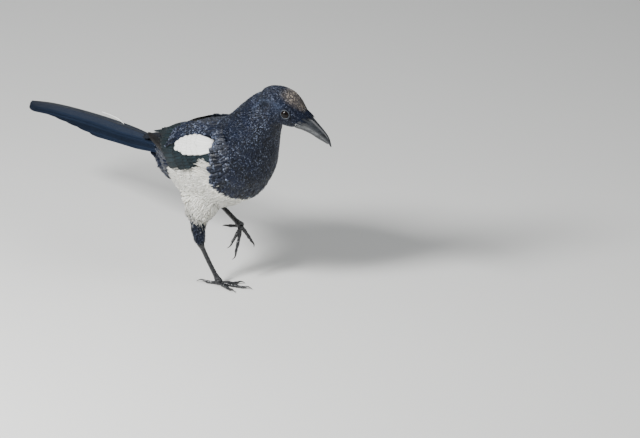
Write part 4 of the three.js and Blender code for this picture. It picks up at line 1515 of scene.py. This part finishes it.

# %% [markdown]
# ## Plumage of the body
# Feather is keratin. Black magpie plumage holds melanin under a clear film that gives a blue to violet gloss, and
# white plumage is clear keratin full of air, which scatters light softly. The glints of sunlight on the edges of
# black feathers, which come in clusters, are painted into the colour as pale specks near the tips, and so are a
# brownish highlight on the crown and bluish highlights behind the ear, behind the eye and at the shoulder. Real
# barbs stand 0.2 mm apart, too fine to show here, so they are drawn at about 0.7 mm.

# %% Body plumage
BLACK = ("#090c13", "#111826")  # two near blacks that feathers differ between
CLOUDED_BLACK = "#0f172a"
WHITE = ("#e6e3d5", "#efede2")
CLOUDED_WHITE = "#dad8cc"
# Painted highlights: pale glints near the tips of black feathers, a brownish one on the crown and a bluish one behind
# the ear, behind the eye and at the shoulder.
PAINTED_EDGE_GLINT, PAINTED_BRONZE_HIGHLIGHT, PAINTED_BLUE_HIGHLIGHT = "#7f89a0", "#8b8175", "#454f63"


def body_plumage(name, glow):
    material, add, shader = new_material(name)
    keys = ("tint", "white", "along", "across", "bronze", "blue")
    tint, white, along, across, bronze, blue = (add("Attribute", output="Fac", attribute_name=key) for key in keys)
    place = add("TexCoord", output="Object")
    cloud, cluster, grain, fine = (
        add("TexNoise", inputs={"Vector": place, "Scale": per_mm(size), "Detail": 2.0})
        for size in (14.0, 8.0, 1.5, 0.7)
    )
    # Painted glints: small pale specks in clusters, drawn near the tips of black feathers, which also break up the
    # painted highlights of crown, ear, eye and shoulder.
    clusters = add("MapRange", cluster, 0.35, 0.6, 0.3, 1.0)
    painted_glint = add("Math", add("MapRange", grain, 0.5, 0.6), clusters, operation="MULTIPLY")
    black = BLACK[0]
    for share, over in (
        (tint, BLACK[1]),
        (add("MapRange", cloud, 0.35, 0.7), CLOUDED_BLACK),
        (add("Math", add("MapRange", along, 0.7, 0.95), painted_glint, operation="MULTIPLY"), PAINTED_EDGE_GLINT),
        (add("Math", bronze, add("MapRange", painted_glint, 0.0, 1.0, 0.22, 1.0), operation="MULTIPLY"), PAINTED_BRONZE_HIGHLIGHT),
        (add("Math", blue, add("MapRange", painted_glint, 0.0, 1.0, 0.4, 1.0), operation="MULTIPLY"), PAINTED_BLUE_HIGHLIGHT),
    ):
        black = add("Mix", share, inputs={6: black, 7: over}, output=2, data_type="RGBA")
    pale = WHITE[0]
    for share, over in ((tint, WHITE[1]), (add("MapRange", cloud, 0.45, 0.75, 0.0, 0.5), CLOUDED_WHITE)):
        pale = add("Mix", share, inputs={6: pale, 7: over}, output=2, data_type="RGBA")
    slant = add("Math", along, 30.0, operation="MULTIPLY")
    barbs = add("Math", add("Math", across, 14.0, slant, operation="MULTIPLY_ADD"), operation="SINE")
    height = add("Math", barbs, 0.5, fine, operation="MULTIPLY_ADD")
    gloss = add("MapRange", white, 0.0, 1.0, 0.34, 0.85)
    feed(shader, {
        "Base Color": add("Mix", white, inputs={6: black, 7: pale}, output=2, data_type="RGBA"),
        "Roughness": add("Math", gloss, add("MapRange", tint, 0.0, 1.0, -0.06, 0.08), operation="ADD"),
        "Normal": add("Bump", inputs={"Height": height, "Distance": 0.12 * MM, "Strength": 0.6}),
    })
    shader.inputs["IOR"].default_value = 1.54
    shader.inputs["Specular IOR Level"].default_value = 0.18
    shader.inputs["Subsurface Weight"].default_value = glow
    shader.inputs["Subsurface Radius"].default_value = (1.0, 0.95, 0.85)
    shader.inputs["Subsurface Scale"].default_value = 2.5 * MM
    return material


contour_plumage = body_plumage("contour_feather_keratin", 0.0)
white_plumage = body_plumage("white_feather_keratin", 0.5)
print("body plumage", contour_plumage.name, white_plumage.name)

# %% [markdown]
# ## Flight feathers
# Wing and tail feathers are stiffer and glossier, with stacked platelets that give green on the wing and slate
# blue on the tail. A little of the metallic shader tints the highlight, as the platelets do. The shaft is dark
# and smooth, and the barbs run off it at a slant, drawn 0.9 mm apart, which is coarser than in life.

# %% Flight plumage
BARB_GAP = 0.9


def flight_plumage(name, deep, gloss, tip, shaft, shine, rough):
    """deep, gloss, tip and shaft are colours, and shine is how metallic the gloss is. The gloss colour is also a paler
    tone that feathers and patches vary towards, and it is painted along the outer edges of each vane as a highlight.
    """
    material, add, shader = new_material(f"{name}_keratin")
    keys = ("tint", "along", "across", "barb")
    tint, along, across, barb = (add("Attribute", output="Fac", attribute_name=key) for key in keys)
    place = add("TexCoord", output="Object")
    cloud = add("TexNoise", inputs={"Vector": place, "Scale": per_mm(9.0), "Detail": 2.0})
    from_shaft = add("Math", across, operation="ABSOLUTE")
    colour = deep
    for share, over in (
        (tint, gloss),
        (add("MapRange", cloud, 0.35, 0.7, 0.0, 0.6), gloss),
        # Painted highlight: the outer edges of each vane take the gloss colour.
        (add("MapRange", along, 0.7, 1.0, 0.0, 0.8), tip),
        (add("MapRange", from_shaft, 0.82, 1.0, 0.0, 0.5), gloss),
        (add("MapRange", from_shaft, 0.1, 0.02), shaft),
    ):
        colour = add("Mix", share, inputs={6: colour, 7: over}, output=2, data_type="RGBA")
    lines = add("Math", add("Math", barb, 2 * math.pi / BARB_GAP, operation="MULTIPLY"), operation="SINE")
    feed(shader, {
        "Base Color": colour,
        "Roughness": add("MapRange", lines, -1.0, 1.0, rough, rough + 0.12),
        "Normal": add("Bump", inputs={"Height": lines, "Distance": 0.06 * MM, "Strength": 0.5}),
    })
    shader.inputs["Metallic"].default_value = shine
    shader.inputs["IOR"].default_value = 1.54
    shader.inputs["Specular IOR Level"].default_value = 0.16
    return material


wing_plumage = flight_plumage("wing_feather", "#101a1e", "#1c2a30", "#0e1417", "#08090a", 0.2, 0.46)
primary_plumage = flight_plumage("primary_feather", "#0b0c0e", "#121315", "#171413", "#0e0c0b", 0.1, 0.5)
tail_plumage = flight_plumage("tail_feather", "#0d1420", "#1a2639", "#131a28", "#07090c", 0.3, 0.4)
shoulder_plumage = flight_plumage("shoulder_feather", "#d9d9d5", "#eaeae7", "#e4e4e0", "#cfcfca", 0.0, 0.75)
covert_plumage = flight_plumage("tail_covert", "#0b0d12", "#131924", "#10141c", "#070809", 0.1, 0.45)
print("materials so far", len(bpy.data.materials))

# %% [markdown]
# ## Horn and scales
# The bill and claws are dense black horn with a soft shine from wear, and fine scratches along them. Along the
# bill's cutting edges a highlight is painted into the colour. The scales of the legs are thinner horn with matt
# seams.

# %% Horn and scales
# The colour of the painted highlight along the bill's cutting edges.
GAPE_EDGE_HIGHLIGHT = "#606264"


def horn(name, dark, light, rough, streak_mm):
    """Horn with fine streaks along it, and a painted highlight along the cutting edges of the bill."""
    material, add, shader = new_material(name)
    place = add("TexCoord", output="Object")
    stretched = add("Mapping", inputs={"Vector": place, "Scale": (0.25, 0.4, 1.0)})
    streaks = add("TexNoise", inputs={"Vector": stretched, "Scale": per_mm(streak_mm), "Detail": 4.0})
    # A painted highlight along the bill's cutting edges, broken up by the streaks.
    near_edge = add("MapRange", add("Attribute", output="Fac", attribute_name="edge"), 0.78, 0.97)
    edge_highlight = add("Math", near_edge, add("MapRange", streaks, 0.3, 0.6), operation="MULTIPLY")
    colour = dark
    for share, over in ((add("MapRange", streaks, 0.35, 0.7), light), (edge_highlight, GAPE_EDGE_HIGHLIGHT)):
        colour = add("Mix", share, inputs={6: colour, 7: over}, output=2, data_type="RGBA")
    feed(shader, {
        "Base Color": colour,
        "Roughness": add("MapRange", streaks, 0.3, 0.7, rough - 0.05, rough + 0.12),
        "Normal": add("Bump", inputs={"Height": streaks, "Distance": 0.08 * MM, "Strength": 0.5}),
    })
    shader.inputs["IOR"].default_value = 1.56
    return material


def scaly_horn():
    """Horn in plates, whose number rises by one from plate to plate, with a matt seam between two."""
    material, add, shader = new_material("leg_scale_horn")
    plate = add("Attribute", output="Fac", attribute_name="plate")
    seam = add("MapRange", add("Math", plate, operation="FRACT"), 0.84, 1.0)
    place = add("TexCoord", output="Object")
    grain = add("TexNoise", inputs={"Vector": place, "Scale": per_mm(0.8), "Detail": 3.0})
    colour = "#090a0c"
    for share, over in ((add("MapRange", grain, 0.3, 0.7), "#1a1c20"), (seam, "#303238")):
        colour = add("Mix", share, inputs={6: colour, 7: over}, output=2, data_type="RGBA")
    to_edge = add("TexVoronoi", inputs={"Vector": place, "Scale": per_mm(1.3)}, output="Distance",
                  feature="DISTANCE_TO_EDGE")
    height = add("MapRange", to_edge, 0.0, 0.12)
    feed(shader, {
        "Base Color": colour,
        "Roughness": add("MapRange", seam, 0.0, 1.0, 0.27, 0.6),
        "Normal": add("Bump", inputs={"Height": height, "Distance": 0.12 * MM, "Strength": 0.6}),
    })
    shader.inputs["IOR"].default_value = 1.54
    return material


bill_horn = horn("polished_bill_horn", "#1d1f22", "#303338", 0.22, 2.5)
claw_horn = horn("claw_horn", "#141415", "#2c2b2b", 0.3, 0.8)
leg_scale = scaly_horn()
print("horn", bill_horn.name, claw_horn.name, leg_scale.name)

# %% [markdown]
# ## Eye and lids
# The eye has a clear wet coat over a very dark iris and a black pupil. The lids are bare, finely wrinkled skin.

# %% Eye and lids
PUPIL_EDGE, IRIS_EDGE = (1.7, 1.9), (3.2, 3.6)  # in mm from the middle of the eye


def wet_eye():
    material, add, shader = new_material("wet_eye")
    from_middle = add("Attribute", output="Fac", attribute_name="from_middle")
    place = add("TexCoord", output="Object")
    fibres = add("TexNoise", inputs={"Vector": place, "Scale": per_mm(0.5), "Detail": 3.0})
    iris = add("Mix", add("MapRange", fibres, 0.35, 0.65), inputs={6: "#070403", 7: "#130b07"}, output=2,
               data_type="RGBA")
    colour = "#020202"
    for share, over in (
        (add("MapRange", from_middle, *PUPIL_EDGE), iris),
        (add("MapRange", from_middle, *IRIS_EDGE), "#0a0706"),
    ):
        colour = add("Mix", share, inputs={6: colour, 7: over}, output=2, data_type="RGBA")
    feed(shader, {"Base Color": colour})
    shader.inputs["Roughness"].default_value = 0.3
    shader.inputs["Specular IOR Level"].default_value = 0.1
    shader.inputs["Coat Weight"].default_value = 0.3
    shader.inputs["Coat Roughness"].default_value = 0.02
    shader.inputs["IOR"].default_value = 1.38
    return material


def bare_lid():
    material, add, shader = new_material("bare_lid_skin")
    place = add("TexCoord", output="Object")
    wrinkles = add("TexNoise", inputs={"Vector": place, "Scale": per_mm(0.6), "Detail": 3.0})
    feed(shader, {
        "Base Color": add("Mix", wrinkles, inputs={6: "#14181d", 7: "#3a434d"}, output=2, data_type="RGBA"),
        "Normal": add("Bump", inputs={"Height": wrinkles, "Distance": 0.15 * MM, "Strength": 0.7}),
    })
    shader.inputs["Roughness"].default_value = 0.5
    return material


eye_gloss = wet_eye()
lid_skin = bare_lid()
print("materials", len(bpy.data.materials))

# %% [markdown]
# ## Dress the solids
# Every piece rides on the one body, takes its material, and hides the solids that it stands for. The skin and its coat
# stand for all the flesh.

# %% Materials, rides and replaced solids
FLESH = ("head", "neck", "breast", "back", "belly", "rump", "thigh_right", "thigh_left")


def dress(piece, material, slot, *nodes):
    piece.data.materials.clear()
    piece.data.materials.append(material)
    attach(piece, "root")
    if nodes:
        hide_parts(*nodes)


dress(skin, contour_plumage, "body_black", *FLESH)
WHITE_COAT = ("belly", "loose_belly", "fluff", "hanging_fluff", "white_gap")
for piece in [*coat, bristles]:
    pale = piece.name.startswith(WHITE_COAT)
    dress(piece, white_plumage if pale else contour_plumage, "white_plumage" if pale else "body_black")
for side in LEGS:
    coverts, primaries = wing_pieces[side]
    white_shoulder, dark_shoulder, plumes, side_breast = shoulder_pieces[side]
    dress(coverts, wing_plumage, "flight_blue_black", f"wing_{side}")
    dress(primaries, primary_plumage, "flight_blue_black")
    dress(white_shoulder, shoulder_plumage, "white_plumage", f"scapulars_{side}")
    dress(dark_shoulder, contour_plumage, "body_black")
    dress(plumes, white_plumage, "white_plumage")
    dress(side_breast, contour_plumage, "body_black")
dress(tail_piece, tail_plumage, "flight_blue_black", "tail")
for piece in tail_coverts:
    dress(piece, covert_plumage, "body_black")
dress(stray_piece, shoulder_plumage, "white_plumage")
for lid in lids:
    dress(lid, lid_skin, "body_black")
for pieces, material, slot in ((bill_pieces, bill_horn, "bill_horn"), (eyes, eye_gloss, "eye_brown")):
    for node, piece in pieces.items():
        dress(piece, material, slot, node)
for side in LEGS:
    dress(shanks[side], leg_scale, "leg_scales", f"tarsus_{side}")
    for name in TOES:
        dress(toes[side, name], leg_scale, "leg_scales", f"toe_{side}_{name}")
        dress(claws[side, name], claw_horn, "claw_horn", f"claw_{side}_{name}")

# %% [markdown]
# ## Floor, light and camera
# A pale matt floor and three soft lamps show black plumage best, because it is seen mostly by its highlights. The
# camera looks from the bird's right front and a little from above, 10 m off with a long lens. It is no further off
# than 10 m, because with a longer lens the views from other sides would be taken from beyond the clipping distance.

# %% Stage
FLOOR_HALF = 3000
MIDDLE = Vector((0.02, 0.0, 0.11))  # of the bird, where all lamps point
BACK = Vector((0.7198, -0.6040, 0.3420))  # from the bird to the camera
RIGHT = Vector((0.6428, 0.7660, 0.0))  # in the picture
UP = Vector((0, 0, 1))
LAMPS = {  # place, size in metres and power in watts
    "key": (MIDDLE - RIGHT * 0.7 + UP * 0.5 + BACK * 0.75, 0.3, 33),
    "fill": (MIDDLE + RIGHT * 1.0 + UP * 0.5 + BACK * 0.7, 0.9, 8),
    "rim": (MIDDLE - BACK * 0.9 + UP * 0.9 - RIGHT * 0.2, 0.6, 1.5),
}
AIM = Vector((0.0784, 0.1144, 0.0371))  # the point in the middle of the picture
DISTANCE = 10
LENS = 61.875 * DISTANCE  # in mm, so that one picture point is 0.91 mm at the bird


def make_floor():
    points = [(x * FLOOR_HALF, y * FLOOR_HALF, 0) for x, y in ((-1, -1), (1, -1), (1, 1), (-1, 1))]
    floor = make_mesh("floor", points, [(0, 1, 2, 3)], False)
    material, _, shader = new_material("pale_floor")
    shader.inputs["Base Color"].default_value = linear("#e0e0dd")
    shader.inputs["Roughness"].default_value = 0.9
    floor.data.materials.append(material)
    floor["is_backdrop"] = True


def add_to_scene(name, data, place, way):
    """A lamp or a camera at a place, which looks along way."""
    holder = bpy.data.objects.new(name, data)
    holder.location = place
    holder.rotation_euler = way.to_track_quat("-Z", "Y").to_euler()
    bpy.context.collection.objects.link(holder)
    return holder


make_floor()
for name, (place, size, watts) in LAMPS.items():
    lamp = bpy.data.lights.new(name, "AREA")
    lamp.size, lamp.energy = size, watts
    add_to_scene(name, lamp, place, MIDDLE - place)
world = bpy.data.worlds.new("studio")
world.use_nodes = True
sky = world.node_tree.nodes["Background"].inputs
sky["Color"].default_value = linear("#dfe4ea")
sky["Strength"].default_value = 0.3
bpy.context.scene.world = world
view = bpy.data.cameras.new("camera")
view.lens, view.sensor_width, view.clip_end = LENS, 36, 100
bpy.context.scene.camera = add_to_scene("camera", view, AIM + BACK * DISTANCE, -BACK)
print("lamps", len(bpy.data.lights), "camera", DISTANCE, "m away")

# %% [markdown]
# ## Sizes, and the end
# The faces of all the shown pieces are counted. The dressed bird has to stay in the box
# of the solids, apart from a little coat.

# %% Sizes, and the end
faces = sum(len(p.data.polygons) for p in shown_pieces() if p.type == "MESH")
print("faces in all", faces)
